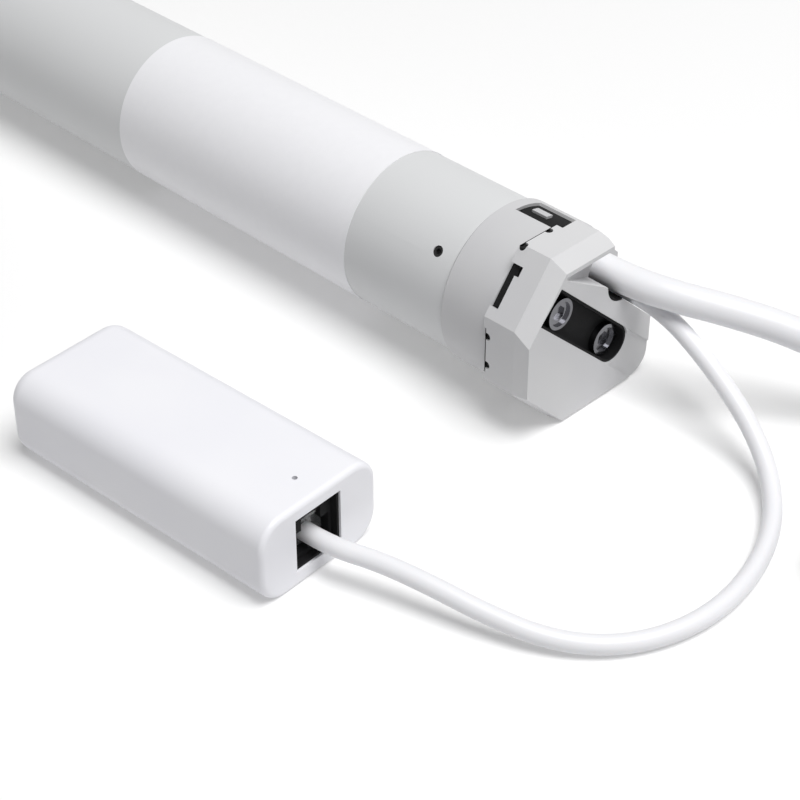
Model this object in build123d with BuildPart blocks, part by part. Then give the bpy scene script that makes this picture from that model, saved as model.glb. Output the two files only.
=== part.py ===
# Smart blind controller: a tubular blind motor, its mains lead, and the small
# control box that plugs into it by a data cable, all lying on one flat surface.
#
# Frame: millimetres, +Z up, the surface at z = 0, +X along the motor's axis
# towards its cable head. The origin is under the middle of motor and box.
from build123d import *
from math import acos, atan2, cos, degrees, hypot, pi, radians, sin, sqrt, tan
import os

os.makedirs("parts", exist_ok=True)

# Motor tube and overall length
MOTOR_LENGTH = 450.0
TUBE_OUTER_R = 22.5
TUBE_WALL = 1.0
TUBE_END_SETBACK = 0.2
FIT = 0.05
MOVING_GAP = 0.3

# Cable head: an octagon that lies on its lowest flat
HEAD_ACROSS_FLATS = 50.0
UPPER_LEFT_Y = -12.3
UPPER_LEFT_Z = 9.0
UPPER_RIGHT = 6.0
HEAD_CORNER_R = 7.0
CROWN_LENGTH = 17.2
HEAD_LENGTH = 32.0
COVER_THICKNESS = 5.0
SPIGOT_LENGTH = 26.0
JOURNAL_R = 19.0

# Bevel of the front cover: one depth, and its width on each side of the outline
BEVEL_DEPTH = 4.6
BEVEL_UPPER_LEFT = 2.6
BEVEL_LEFT = 0.6
BEVEL_LOWER = 0.8
BEVEL_RIGHT = 0.8
BEVEL_TOP = 3.0

# Crown, the ring that the blind's tube turns round the head
CROWN_OUTER_R = 23.5
CROWN_GAP = 0.2
CROWN_CHAMFER = 0.5
CROWN_TEETH = 50
PINION_TEETH = 10
CROWN_MODULE = 0.8
CROWN_GEAR_START = 9.5
KEY_WINDOW_FROM = 64.0
KEY_WINDOW_TO = 89.0
KEY_WINDOW_START = 4.0
KEY_WINDOW_END = 20.0
KEY_FROM = 74.0
KEY_TO = 80.0
KEY_OUTER_R = 23.3
KEY_START = 6.5
KEY_END = 11.5
TOOTH_RING_WALL = 0.6
FLANGE_WINDOW_DEPTH = 4.5

# Cable recess in the head's upper right quarter
RECESS_START = 19.0
RECESS_WALL_Y = 7.0
RECESS_DIAGONAL = 10.7
MOUTH_Y = 12.0
MOUTH_Z = 10.0
MOUTH_R = 6.6
MOUTH_ROOT_R = 5.4
GROMMET_SEAT = 1.5
GROMMET_FACE = 20.0
GROMMET_WALL = 1.2
RAMP_ANGLE = -31.0
RAMP_ASIDE = 11.4
RAMP_FROM = -20.3
RAMP_TO = 2.0
RAMP_DEPTH = 8.0
RAMP_ROOF = 20.8

# Diagonal slot with the two limit screws, in axes turned along the slot
SLOT_ANGLE = -42.7
SLOT_FROM = -22.0
SLOT_TO = 18.6
SLOT_LOW = -6.1
SLOT_HIGH = 4.75
STRIP_DEPTH = 0.5
STRIP_OVERLAP = 2.0
LINER_THICKNESS = 0.6
LINER_WALL = 0.6
SCREW_ALONG = 12.55
SCREW_ACROSS = -0.7
SCREW_HEAD_R = 4.45
SCREW_HEAD_HEIGHT = 1.8
SCREW_SHAFT_R = 2.0
SCREW_DISH_R = 3.5
SCREW_DISH_DEPTH = 0.7
SCREW_SOCKET_R = 2.2
SCREW_SOCKET_DEPTH = 0.9
RUNNING_FIT = 0.05

# Seam slits at the back of the head block, measured along each flat
SLIT_WIDTH = 0.8
SLIT_DEPTH = 2.2
BULGE_R = 1.1
TOP_SLIT = (-12.7, 0.7)
TOP_BULGES = (-12.2, -2.9)
LEFT_SLIT = (-8.0, 5.6)
LEFT_BULGES = (-5.6, 3.2)
WIDE_SLIT = (-5.4, 6.8)
WIDE_SLIT_WIDTH = 2.7
WIDE_SLIT_DEPTH = 3.2
NOTCH_LENGTH = 2.8
NOTCH_WIDTH = 4.0

# Limit unit behind the head
LIMIT_FROM = -30.0
LIMIT_LENGTH = 46.0
LIMIT_R = 21.2
LIMIT_CAVITY_R = 12.0
LIMIT_CAVITY_SHIFT = 5.0
LIMIT_END_WALL = 4.0
PINION_SHAFT_R = 1.5
PINION_ANGLE = 225.0
WIRE_Y = 11.5
WIRE_Z = 5.5
WIRE_PASSAGE_R = 3.3
WIRE_R = 0.9
WIRE_RING_R = 1.5
WIRE_OVER_BOARD = 4.0

# Screws that hold the tube on the head
TUBE_SCREW_X = -6.4
TUBE_SCREW_ANGLE = 141.0
TUBE_SCREW_R = 1.55
TUBE_SCREW_DEPTH = 5.0
TUBE_SCREW_SINK = 0.3
TUBE_SOCKET_R = 0.9
TUBE_SOCKET_DEPTH = 1.0

# Paper label round the tube
LABEL_FROM = -131.3
LABEL_TO = -36.5
LABEL_THICKNESS = 0.1
LABEL_START_ANGLE = 45.0
LABEL_END_ANGLE = 330.0

# Motor control board and run capacitor
BOARD_FROM = -84.0
BOARD_LENGTH = 50.0
BOARD_WIDTH = 34.0
BOARD_THICKNESS = 1.6
BOARD_HEIGHT = -6.0
BOARD_MARGIN = 5.0
RELAY_SIZE = (15.0, 12.0, 14.0)
RELAY_GAP = 3.0
RELAY_ASIDE = 7.0
TERMINAL_SIZE = (10.0, 12.0, 8.0)
TERMINAL_ASIDE = 9.0
CAPACITOR_FROM = -142.0
CAPACITOR_LENGTH = 48.0
CAPACITOR_R = 15.0
CAPACITOR_EDGE_R = 1.0
CRADLE_LENGTH = 6.0
CRADLE_INSET = 5.0

# Induction motor
BELL_FROM = -200.0
BELL_LENGTH = 8.0
STATOR_GAP = 10.0
STATOR_LENGTH = 46.0
STATOR_BORE_R = 11.2
ROTOR_R = 10.9
SHAFT_R = 3.0
BEARING_R = 9.5
BEARING_WIDTH = 6.0
WINDING_LENGTH = 7.0
WINDING_INNER_R = 12.6
WINDING_OUTER_R = 19.5
COIL_SLOTS = 12
COIL_SLOT_R = 1.7
COIL_SLOT_RING_R = 15.6

# Brake behind the motor
BRAKE_GAP = 4.0
BRAKE_COIL_LENGTH = 14.0
BRAKE_COIL_BORE_R = 9.0
BRAKE_DISC_R = 16.0
BRAKE_DISC_THICKNESS = 2.0
BRAKE_DISC_GAP = 1.0

# Two planetary stages in one ring
GEAR_GAP = 4.0
SUN_TEETH = 9
PLANET_TEETH = 18
RING_TEETH = 45
RING_WALL = 2.0
STAGE_WIDTH = 14.0
PLANET_COUNT = 3
PIN_R = 1.7
CARRIER_R = 15.0
CARRIER_THICKNESS = 4.0
STAGE_GAP = 0.6
GEAR_BACKLASH = 0.07
PRESSURE_ANGLE = radians(25)
ADDENDUM = 0.8
DEDENDUM = 1.0
SUN_BORE_R = 1.4

# Drive end
CAP_FLANGE = 4.0
CAP_SPIGOT = 20.0
WHEEL_TO_CAP = 5.2
OUTPUT_SHAFT_R = 6.0
BUSH_R = 8.0
DRIVE_FLAT = 10.0
WHEEL_LENGTH = 14.0
WHEEL_RIM_R = 21.0
WHEEL_RIM_WALL = 2.0
WHEEL_HUB_R = 9.0
WHEEL_RIB_WIDTH = 5.0
WHEEL_RIBS = 8
WHEEL_SPOKE_WIDTH = 3.0
CLIP_R = 8.0
CLIP_THICKNESS = 1.2
CLIP_GROOVE_DEPTH = 0.7
SHAFT_STUB = 1.6

# Control box: a rounded case that lies beside the motor, turned a little
BOX_LENGTH = 90.0
BOX_WIDTH = 39.3
BOX_HEIGHT = 24.0
BOX_EDGE_R = 7.5
BOX_WALL = 2.0
BOX_NEAR_ROUND = 1.5
BOX_FAR_ROUND = 4.5
BOX_TURN = 3.33
BOX_END_X = 29.4
BOX_END_Y = -93.9
BASE_LENGTH = 74.0
BASE_WIDTH = 22.0
BASE_GAP = 0.1
BASE_CORNER_R = 2.0
BASE_BOSS_WALL = 0.8
BASE_SCREW_SINK = 0.1
BASE_SCREW_HEAD_HEIGHT = 1.1
BASE_SOCKET_R = 1.0
BASE_SOCKET_DEPTH = 0.7
BASE_SCREW_R = 1.2
BASE_SCREW_HEAD_R = 2.2
BASE_SCREW_INSET = 5.0
JACK_Y = -0.5
JACK_LOW = 4.6
JACK_WIDTH = 15.0
JACK_HEIGHT = 15.4
JACK_LENGTH = 19.0
JACK_SETBACK = 0.6
JACK_CLEARANCE = 0.15
JACK_RIM_DEPTH = 2.0
JACK_RIM_WALL = 0.6
SPRING_GROOVE_PLAY = 0.05
MAIN_BOARD_TOP = 4.6
MAIN_BOARD_THICKNESS = 1.6
MAIN_BOARD_LENGTH = 70.0
MAIN_BOARD_SETBACK = 1.6
BOARD_PLAY = 0.3
RADIO_LENGTH = 24.0
RADIO_WIDTH = 16.0
RADIO_HEIGHT = 2.6
RADIO_START = -30.0
RADIO_CORNER_R = 0.6
BUTTON_FROM_END = 7.9
PINHOLE_R = 0.7
BUTTON_R = 1.0
BUTTON_BASE_R = 1.6
BUTTON_TRAVEL = 0.3
BUTTON_BASE_HEIGHT = 0.35
BUTTON_RING_WALL = 0.8
BUTTON_RING_HEIGHT = 0.7
KEY_BOARD_THICKNESS = 0.4
KEY_BOARD_LENGTH = 10.0
KEY_BOARD_WIDTH = 8.0

# Modular plug of the data cable
PLUG_WIDTH = 11.7
PLUG_LOW = 6.6
PLUG_HEIGHT = 6.4
PLUG_LENGTH = 13.0
PLUG_REAR = -5.0
PLUG_PLAY = 0.15
LATCH_WIDTH = 5.6
LATCH_THICKNESS = 1.0
LATCH_SLOT_WIDTH = 6.6
LATCH_SLOT_HEIGHT = 3.6
LATCH_RISE = 0.3
LATCH_TIP_RISE = 1.4
LATCH_BEND = 4.0
LATCH_BEND_RISE = 0.4
LATCH_HINGE_INSET = 1.0
LATCH_OVERHANG = 1.5
CONTACTS = 8
CONTACT_PITCH = 1.02
CONTACT_WIDTH = 0.4
CONTACT_LENGTH = 5.0
CONTACT_INSET = 1.0
CONTACT_HEIGHT = 1.2
SPRING_HEIGHT = 0.35
SPRING_LENGTH = 9.0

# Cables and the mains lead's put-away coil
MAINS_R = 4.25
DATA_R = 2.5
MAINS_Y = 13.6
MAINS_Z = 8.3
DATA_Y = 18.4
DATA_Z = 1.5
COIL_HEADING = 34.0
COIL_OUTER_R = 61.5
COIL_PITCH = 9.0
COIL_LAYER = 9.0
COIL_CENTRE_Z = 5.35
COIL_TURNS_DOWN = 6
COIL_LEAD_IN = 11.0
TIE_THICKNESS = 0.8
TIE_WIDTH = 10.0
TIE_GAP = 0.2
TIE_SLACK = 1.6
TIE_CORNER_R = 3.0
CORE_R = 1.1
CORE_RING_R = 1.9
CORE_LENGTH = 32.0

# Values worked out from the sizes above
AXIS_Z = HEAD_ACROSS_FLATS / 2
TUBE_BORE_R = TUBE_OUTER_R - TUBE_WALL
HALF_FLAT = HEAD_ACROSS_FLATS / 2
HALF_SIDE = HALF_FLAT * tan(radians(22.5))
BOX_TURN_RAD = radians(BOX_TURN)
BOX_FAR_REACH = (
    (BOX_LENGTH - BOX_FAR_ROUND) * sin(BOX_TURN_RAD)
    + (BOX_WIDTH / 2 - BOX_FAR_ROUND) * cos(BOX_TURN_RAD)
    + BOX_FAR_ROUND
)
LOW_Y = BOX_END_Y - BOX_FAR_REACH
ORIGIN_X = MOTOR_LENGTH / 2 - HEAD_LENGTH
ORIGIN_Y = -(HALF_FLAT + LOW_Y) / 2
FAR_END_PARTS = SHAFT_STUB + CLIP_THICKNESS + WHEEL_LENGTH + WHEEL_TO_CAP + CAP_FLANGE
TUBE_FAR_END = HEAD_LENGTH - MOTOR_LENGTH + FAR_END_PARTS


def row(point):
    """A point given from the crown's rear edge and the motor's axis line, as a point of the whole part."""
    return (point[0] + ORIGIN_X, point[1] + ORIGIN_Y, point[2])


def across(x):
    """The plane square to the motor's axis at x, its own axes towards +Y and up."""
    return Plane(origin=row((x, 0, AXIS_Z)), x_dir=(0, 1, 0), z_dir=(1, 0, 0))


def along_slot(x):
    """The plane square to the motor's axis at x, turned so that its first axis runs along the slot."""
    turned = (0, cos(radians(SLOT_ANGLE)), sin(radians(SLOT_ANGLE)))
    return Plane(origin=row((x, 0, AXIS_Z)), x_dir=turned, z_dir=(1, 0, 0))


def facet(angle, distance):
    """A plane that faces out at an angle round the motor, its own axes along +X and round the motor."""
    out = (0, cos(radians(angle)), sin(radians(angle)))
    place = row((0, distance * out[1], AXIS_Z + distance * out[2]))
    return Plane(origin=place, x_dir=(1, 0, 0), z_dir=out)


def box_place(s, y, z):
    """A point given from the middle of the box's end face, along its axis, across it and up."""
    c, n = cos(BOX_TURN_RAD), sin(BOX_TURN_RAD)
    return row((BOX_END_X + s * c - y * n, BOX_END_Y + s * n + y * c, z))


def box_level(z):
    """A level plane of the box, its own axes along the box and across it."""
    axis = (cos(BOX_TURN_RAD), sin(BOX_TURN_RAD), 0)
    return Plane(origin=box_place(0, 0, z), x_dir=axis, z_dir=(0, 0, 1))


def box_section(s):
    """An upright plane across the box at s, its own axes across the box and up."""
    axis = (cos(BOX_TURN_RAD), sin(BOX_TURN_RAD), 0)
    side = (-sin(BOX_TURN_RAD), cos(BOX_TURN_RAD), 0)
    return Plane(origin=box_place(s, 0, 0), x_dir=side, z_dir=axis)


def slot_point(along, aside):
    """A point of the slot's axes, as y and z from the motor's axis."""
    c, n = cos(radians(SLOT_ANGLE)), sin(radians(SLOT_ANGLE))
    return (along * c - aside * n, along * n + aside * c)


def involute(angle):
    return tan(angle) - angle


def gear_outline(teeth, module, inner, outer, thinning, phase=0.0, steps=4):
    """Outline with involute flanks. A ring's spaces have the same form, with thinning below zero."""
    pitch_r = module * teeth / 2
    base_r = pitch_r * cos(PRESSURE_ANGLE)
    middle = pi / (2 * teeth) + involute(PRESSURE_ANGLE) - thinning / pitch_r
    points = []
    for tooth in range(teeth):
        centre = radians(phase) + 2 * pi * tooth / teeth
        flank = []
        for step in range(steps + 1):
            r = inner + (outer - inner) * step / steps
            half = middle - involute(acos(min(1.0, base_r / r)))
            flank.append((r, half))
        points += [(r * cos(centre - half), r * sin(centre - half)) for r, half in flank]
        points += [(r * cos(centre + half), r * sin(centre + half)) for r, half in reversed(flank)]
    return points


def corner_radii(points, share=0.45):
    """The largest tangent arc that each inner point's two runs leave room for."""
    radii = []
    for before, here, after in zip(points, points[1:], points[2:]):
        first = Vector(*here) - Vector(*before)
        second = Vector(*after) - Vector(*here)
        turn = radians(first.get_angle(second))
        radii.append(share * min(first.length, second.length) / tan(turn / 2))
    return radii


def write(part, label):
    part.label = label
    export_step(part, f"parts/{label}.step")


# Steel motor tube
with BuildPart() as motor_tube:
    with BuildSketch(across(TUBE_FAR_END)):
        Circle(TUBE_OUTER_R)
        Circle(TUBE_BORE_R, mode=Mode.SUBTRACT)
    extrude(amount=-TUBE_FAR_END - TUBE_END_SETBACK)
    for angle in (TUBE_SCREW_ANGLE, TUBE_SCREW_ANGLE + 180):
        with BuildSketch(facet(angle, TUBE_OUTER_R + 1)):
            with Locations((TUBE_SCREW_X, 0)):
                Circle(TUBE_SCREW_R)
        extrude(amount=-TUBE_WALL - 2, mode=Mode.SUBTRACT)
write(motor_tube.part, "motor_tube")


# Outline of the head, a worn octagon with its lower right corner squared off
head_outline = [
    (UPPER_LEFT_Y, HALF_FLAT),
    (-HALF_FLAT, UPPER_LEFT_Z),
    (-HALF_FLAT, -HALF_SIDE),
    (-HALF_SIDE, -HALF_FLAT),
    (HALF_FLAT, -HALF_FLAT),
    (HALF_FLAT, UPPER_RIGHT),
    (UPPER_RIGHT, HALF_FLAT),
]
bevel_widths = [
    BEVEL_UPPER_LEFT,
    BEVEL_LEFT,
    BEVEL_LOWER,
    BEVEL_LOWER,
    BEVEL_RIGHT,
    BEVEL_RIGHT,
    BEVEL_TOP,
]


def inset(points, widths):
    """The outline with each side moved in by its own width, the first side running from the first point."""
    sides = []
    for (y1, z1), (y2, z2), width in zip(points, points[1:] + points[:1], widths):
        run = hypot(y2 - y1, z2 - z1)
        inward_y, inward_z = (z1 - z2) / run, (y2 - y1) / run
        sides.append((inward_y, inward_z, inward_y * y1 + inward_z * z1 + width))
    moved = []
    for (a1, b1, c1), (a2, b2, c2) in zip(sides[-1:] + sides[:-1], sides):
        cross = a1 * b2 - a2 * b1
        moved.append(((c1 * b2 - c2 * b1) / cross, (a1 * c2 - a2 * c1) / cross))
    return moved


def head_section(x, points, corner_r):
    """A section of the head, with its lower right corner rounded."""
    with BuildSketch(across(x), mode=Mode.PRIVATE) as section:
        Polygon(*points, align=None)
        fillet(section.vertices().sort_by(Axis.X)[-2:].sort_by(Axis.Y)[0], corner_r)
    return section.sketch


def ramp_section():
    """A section of the slope that leads from the head's front into the cable recess."""
    c, n = cos(radians(RAMP_ANGLE)), sin(radians(RAMP_ANGLE))
    origin = row((HEAD_LENGTH, -RAMP_ASIDE * n, AXIS_Z + RAMP_ASIDE * c))
    with BuildSketch(Plane(origin=origin, x_dir=(0, c, n), z_dir=(0, -n, c)), mode=Mode.PRIVATE) as section:
        Polygon((RAMP_FROM, 0), (RAMP_FROM, -1), (RAMP_TO, -1), (RAMP_TO, RAMP_DEPTH), align=None)
    return section.sketch


# Tool for the slope, which leaves the head's top wall standing over it
with BuildPart() as ramp_tool:
    extrude(ramp_section(), amount=HALF_FLAT)
    with BuildSketch(across(0)):
        with Locations((0, RAMP_ROOF - HALF_FLAT)):
            Rectangle(4 * HALF_FLAT, 2 * HALF_FLAT)
    extrude(amount=2 * HEAD_LENGTH, mode=Mode.INTERSECT)

# The upper left flat faces out at its own angle and distance from the axis
upper_left_rise = HALF_FLAT - UPPER_LEFT_Z
upper_left_run = HALF_FLAT + UPPER_LEFT_Y
upper_left_angle = 90 + degrees(atan2(upper_left_rise, upper_left_run))
upper_left_flat = HALF_FLAT * sin(radians(upper_left_angle)) + UPPER_LEFT_Y * cos(radians(upper_left_angle))


def recess_outline():
    """The cable recess, cut well past the head's outer faces."""
    far = 2 * HALF_FLAT
    c, n = cos(radians(SLOT_ANGLE)), sin(radians(SLOT_ANGLE))
    wall_z = (RECESS_DIAGONAL + RECESS_WALL_Y * n) / c
    far_z = (RECESS_DIAGONAL + far * n) / c
    return [(RECESS_WALL_Y, wall_z), (far, far_z), (far, far), (RECESS_WALL_Y, far)]


# Head body: spigot in the tube, journal under the crown, and the octagon block
with BuildPart() as head_body:
    with BuildSketch(across(-SPIGOT_LENGTH)):
        Circle(TUBE_BORE_R - FIT)
    extrude(amount=SPIGOT_LENGTH - TUBE_END_SETBACK)
    with BuildSketch(across(-TUBE_END_SETBACK)):
        Circle(JOURNAL_R)
    extrude(amount=CROWN_LENGTH + TUBE_END_SETBACK)
    block = head_section(CROWN_LENGTH, head_outline, HEAD_CORNER_R)
    extrude(block, amount=HEAD_LENGTH - COVER_THICKNESS - CROWN_LENGTH)
    # Recess floor and the mouth that widens towards the front
    with BuildSketch(across(RECESS_START)):
        Polygon(*recess_outline(), align=None)
    extrude(amount=HEAD_LENGTH - RECESS_START, mode=Mode.SUBTRACT)
    with BuildSketch(across(RECESS_START)):
        with Locations((MOUTH_Y, MOUTH_Z)):
            Circle(MOUTH_ROOT_R)
    with BuildSketch(across(HEAD_LENGTH)):
        with Locations((MOUTH_Y, MOUTH_Z)):
            Circle(MOUTH_R)
    loft(ruled=True, mode=Mode.SUBTRACT)
    add(ramp_tool.part, mode=Mode.SUBTRACT)
    # Seat of the cable grommet
    with BuildSketch(across(RECESS_START - GROMMET_SEAT)):
        with Locations((MAINS_Y, MAINS_Z)):
            Circle(MAINS_R + GROMMET_WALL)
        with Locations((DATA_Y, DATA_Z)):
            Circle(DATA_R + GROMMET_WALL)
    extrude(amount=GROMMET_SEAT + 1, mode=Mode.SUBTRACT)
    # Passage for the wires, holes for the two limit screws and for the counter shaft
    with BuildSketch(across(-SPIGOT_LENGTH - 1)):
        with Locations((WIRE_Y, WIRE_Z)):
            Circle(WIRE_PASSAGE_R)
    extrude(amount=SPIGOT_LENGTH + 1 + RECESS_START - GROMMET_SEAT, mode=Mode.SUBTRACT)
    with BuildSketch(along_slot(-SPIGOT_LENGTH - 1)):
        with Locations((SCREW_ALONG, SCREW_ACROSS), (-SCREW_ALONG, SCREW_ACROSS)):
            Circle(SCREW_SHAFT_R + RUNNING_FIT)
    extrude(amount=SPIGOT_LENGTH + 1 + HEAD_LENGTH, mode=Mode.SUBTRACT)
    pinion_r = CROWN_MODULE * (CROWN_TEETH - PINION_TEETH) / 2
    pinion_tip_r = CROWN_MODULE * (PINION_TEETH / 2 + ADDENDUM)
    pinion_y = pinion_r * cos(radians(PINION_ANGLE))
    pinion_z = pinion_r * sin(radians(PINION_ANGLE))
    with BuildSketch(across(-SPIGOT_LENGTH - 1)):
        with Locations((pinion_y, pinion_z)):
            Circle(PINION_SHAFT_R + RUNNING_FIT)
    extrude(amount=SPIGOT_LENGTH + 1 + CROWN_LENGTH - MOVING_GAP, mode=Mode.SUBTRACT)
    with BuildSketch(across(CROWN_GEAR_START - MOVING_GAP)):
        with Locations((pinion_y, pinion_z)):
            Circle(pinion_tip_r + MOVING_GAP)
    extrude(amount=CROWN_LENGTH - CROWN_GEAR_START + MOVING_GAP, mode=Mode.SUBTRACT)
    # Window for the crown's key, in the flange
    with BuildSketch(across(CROWN_LENGTH)):
        Circle(HALF_FLAT + FLANGE_WINDOW_DEPTH)
        Circle(HALF_FLAT - FLANGE_WINDOW_DEPTH, mode=Mode.SUBTRACT)
        reach = 2 * HALF_FLAT
        window_from, window_to = radians(KEY_WINDOW_FROM), radians(KEY_WINDOW_TO)
        Polygon(
            (0, 0),
            (reach * cos(window_from), reach * sin(window_from)),
            (reach * cos(window_to), reach * sin(window_to)),
            align=None,
            mode=Mode.INTERSECT,
        )
    extrude(amount=KEY_WINDOW_END - CROWN_LENGTH, mode=Mode.SUBTRACT)
    # Seam slits on the three flats that carry them, two with bulges and one wide with a notch
    for angle, slit, bulges in ((90, TOP_SLIT, TOP_BULGES), (180, LEFT_SLIT, LEFT_BULGES)):
        with BuildSketch(facet(angle, HALF_FLAT + 1)):
            with Locations((CROWN_LENGTH + SLIT_WIDTH / 2, (slit[0] + slit[1]) / 2)):
                Rectangle(SLIT_WIDTH, slit[1] - slit[0])
            with Locations(*[(CROWN_LENGTH + BULGE_R, along) for along in bulges]):
                Circle(BULGE_R)
        extrude(amount=-1 - SLIT_DEPTH, mode=Mode.SUBTRACT)
    with BuildSketch(facet(upper_left_angle, upper_left_flat + 1)):
        with Locations((CROWN_LENGTH + WIDE_SLIT_WIDTH / 2, (WIDE_SLIT[0] + WIDE_SLIT[1]) / 2)):
            Rectangle(WIDE_SLIT_WIDTH, WIDE_SLIT[1] - WIDE_SLIT[0])
        with Locations((CROWN_LENGTH + NOTCH_WIDTH / 2, WIDE_SLIT[1] - NOTCH_LENGTH / 2)):
            Rectangle(NOTCH_WIDTH, NOTCH_LENGTH)
    extrude(amount=-1 - WIDE_SLIT_DEPTH, mode=Mode.SUBTRACT)
    # Holes for the tube screws
    for angle in (TUBE_SCREW_ANGLE, TUBE_SCREW_ANGLE + 180):
        with BuildSketch(facet(angle, TUBE_OUTER_R - TUBE_SCREW_DEPTH)):
            with Locations((TUBE_SCREW_X, 0)):
                Circle(TUBE_SCREW_R)
        extrude(amount=TUBE_SCREW_DEPTH + 1, mode=Mode.SUBTRACT)
write(head_body.part, "head_body")


def slot_outline(grow=0.0):
    """The slot in its own axes, square at its upper left end and round at the lower right."""
    half = (SLOT_HIGH - SLOT_LOW) / 2
    middle = (SLOT_HIGH + SLOT_LOW) / 2
    end = SLOT_TO - half
    Line((end, middle + half + grow), (SLOT_FROM - grow, middle + half + grow))
    Line((SLOT_FROM - grow, middle + half + grow), (SLOT_FROM - grow, middle - half - grow))
    Line((SLOT_FROM - grow, middle - half - grow), (end, middle - half - grow))
    ThreePointArc(
        (end, middle - half - grow), (end + half + grow, middle), (end, middle + half + grow)
    )


# Front cover with the diagonal slot
with BuildPart() as head_cover:
    plate = head_section(HEAD_LENGTH - COVER_THICKNESS, head_outline, HEAD_CORNER_R)
    extrude(plate, amount=COVER_THICKNESS - BEVEL_DEPTH)
    bevel_foot = head_section(HEAD_LENGTH - BEVEL_DEPTH, head_outline, HEAD_CORNER_R)
    bevel_top = head_section(HEAD_LENGTH, inset(head_outline, bevel_widths), HEAD_CORNER_R - BEVEL_RIGHT)
    loft([bevel_foot, bevel_top], ruled=True)
    with BuildSketch(across(HEAD_LENGTH - COVER_THICKNESS)):
        Polygon(*recess_outline(), align=None)
    extrude(amount=COVER_THICKNESS, mode=Mode.SUBTRACT)
    add(ramp_tool.part, mode=Mode.SUBTRACT)
    with BuildSketch(across(RECESS_START)):
        with Locations((MOUTH_Y, MOUTH_Z)):
            Circle(MOUTH_ROOT_R)
    with BuildSketch(across(HEAD_LENGTH)):
        with Locations((MOUTH_Y, MOUTH_Z)):
            Circle(MOUTH_R)
    loft(ruled=True, mode=Mode.SUBTRACT)
    with BuildSketch(along_slot(HEAD_LENGTH - COVER_THICKNESS)):
        with BuildLine():
            slot_outline()
        make_face()
    extrude(amount=COVER_THICKNESS, mode=Mode.SUBTRACT)
    with BuildSketch(along_slot(HEAD_LENGTH - STRIP_DEPTH)):
        with Locations((SLOT_TO + HALF_FLAT / 2 - STRIP_OVERLAP, (SLOT_HIGH + SLOT_LOW) / 2)):
            Rectangle(HALF_FLAT, SLOT_HIGH - SLOT_LOW)
    extrude(amount=COVER_THICKNESS, mode=Mode.SUBTRACT)
write(head_cover.part, "head_cover")

# Black tray that lines the slot, its floor round the two screws
with BuildPart() as slot_liner:
    with BuildSketch(along_slot(HEAD_LENGTH - COVER_THICKNESS)):
        with BuildLine():
            slot_outline(-FIT)
        make_face()
    extrude(amount=COVER_THICKNESS - STRIP_DEPTH)
    with BuildSketch(along_slot(HEAD_LENGTH - COVER_THICKNESS + LINER_THICKNESS)):
        with BuildLine():
            slot_outline(-FIT - LINER_WALL)
        make_face()
    extrude(amount=COVER_THICKNESS, mode=Mode.SUBTRACT)
    with BuildSketch(along_slot(HEAD_LENGTH - COVER_THICKNESS)):
        with Locations((SCREW_ALONG, SCREW_ACROSS), (-SCREW_ALONG, SCREW_ACROSS)):
            Circle(SCREW_SHAFT_R + RUNNING_FIT)
    extrude(amount=LINER_THICKNESS, mode=Mode.SUBTRACT)
write(slot_liner.part, "slot_liner")


def limit_screw(place):
    """A dished screw with a six-sided socket, its shaft running back into the limit unit."""
    back = LIMIT_FROM - LIMIT_END_WALL + 1
    seat = HEAD_LENGTH - COVER_THICKNESS + LINER_THICKNESS + RUNNING_FIT
    top = seat + SCREW_HEAD_HEIGHT
    with BuildPart() as screw:
        with BuildSketch(along_slot(back)):
            with Locations((place, SCREW_ACROSS)):
                Circle(SCREW_SHAFT_R)
        extrude(amount=top - back)
        with BuildSketch(along_slot(seat)):
            with Locations((place, SCREW_ACROSS)):
                Circle(SCREW_HEAD_R)
        extrude(amount=SCREW_HEAD_HEIGHT)
        with BuildSketch(along_slot(top - SCREW_DISH_DEPTH)):
            with Locations((place, SCREW_ACROSS)):
                Circle(SCREW_DISH_R)
        extrude(amount=SCREW_DISH_DEPTH, mode=Mode.SUBTRACT)
        with BuildSketch(along_slot(top - SCREW_DISH_DEPTH - SCREW_SOCKET_DEPTH)):
            with Locations((place, SCREW_ACROSS)):
                RegularPolygon(SCREW_SOCKET_R, 6)
        extrude(amount=SCREW_SOCKET_DEPTH, mode=Mode.SUBTRACT)
    return screw.part


write(limit_screw(SCREW_ALONG), "limit_screw_down")
write(limit_screw(-SCREW_ALONG), "limit_screw_up")

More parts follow.
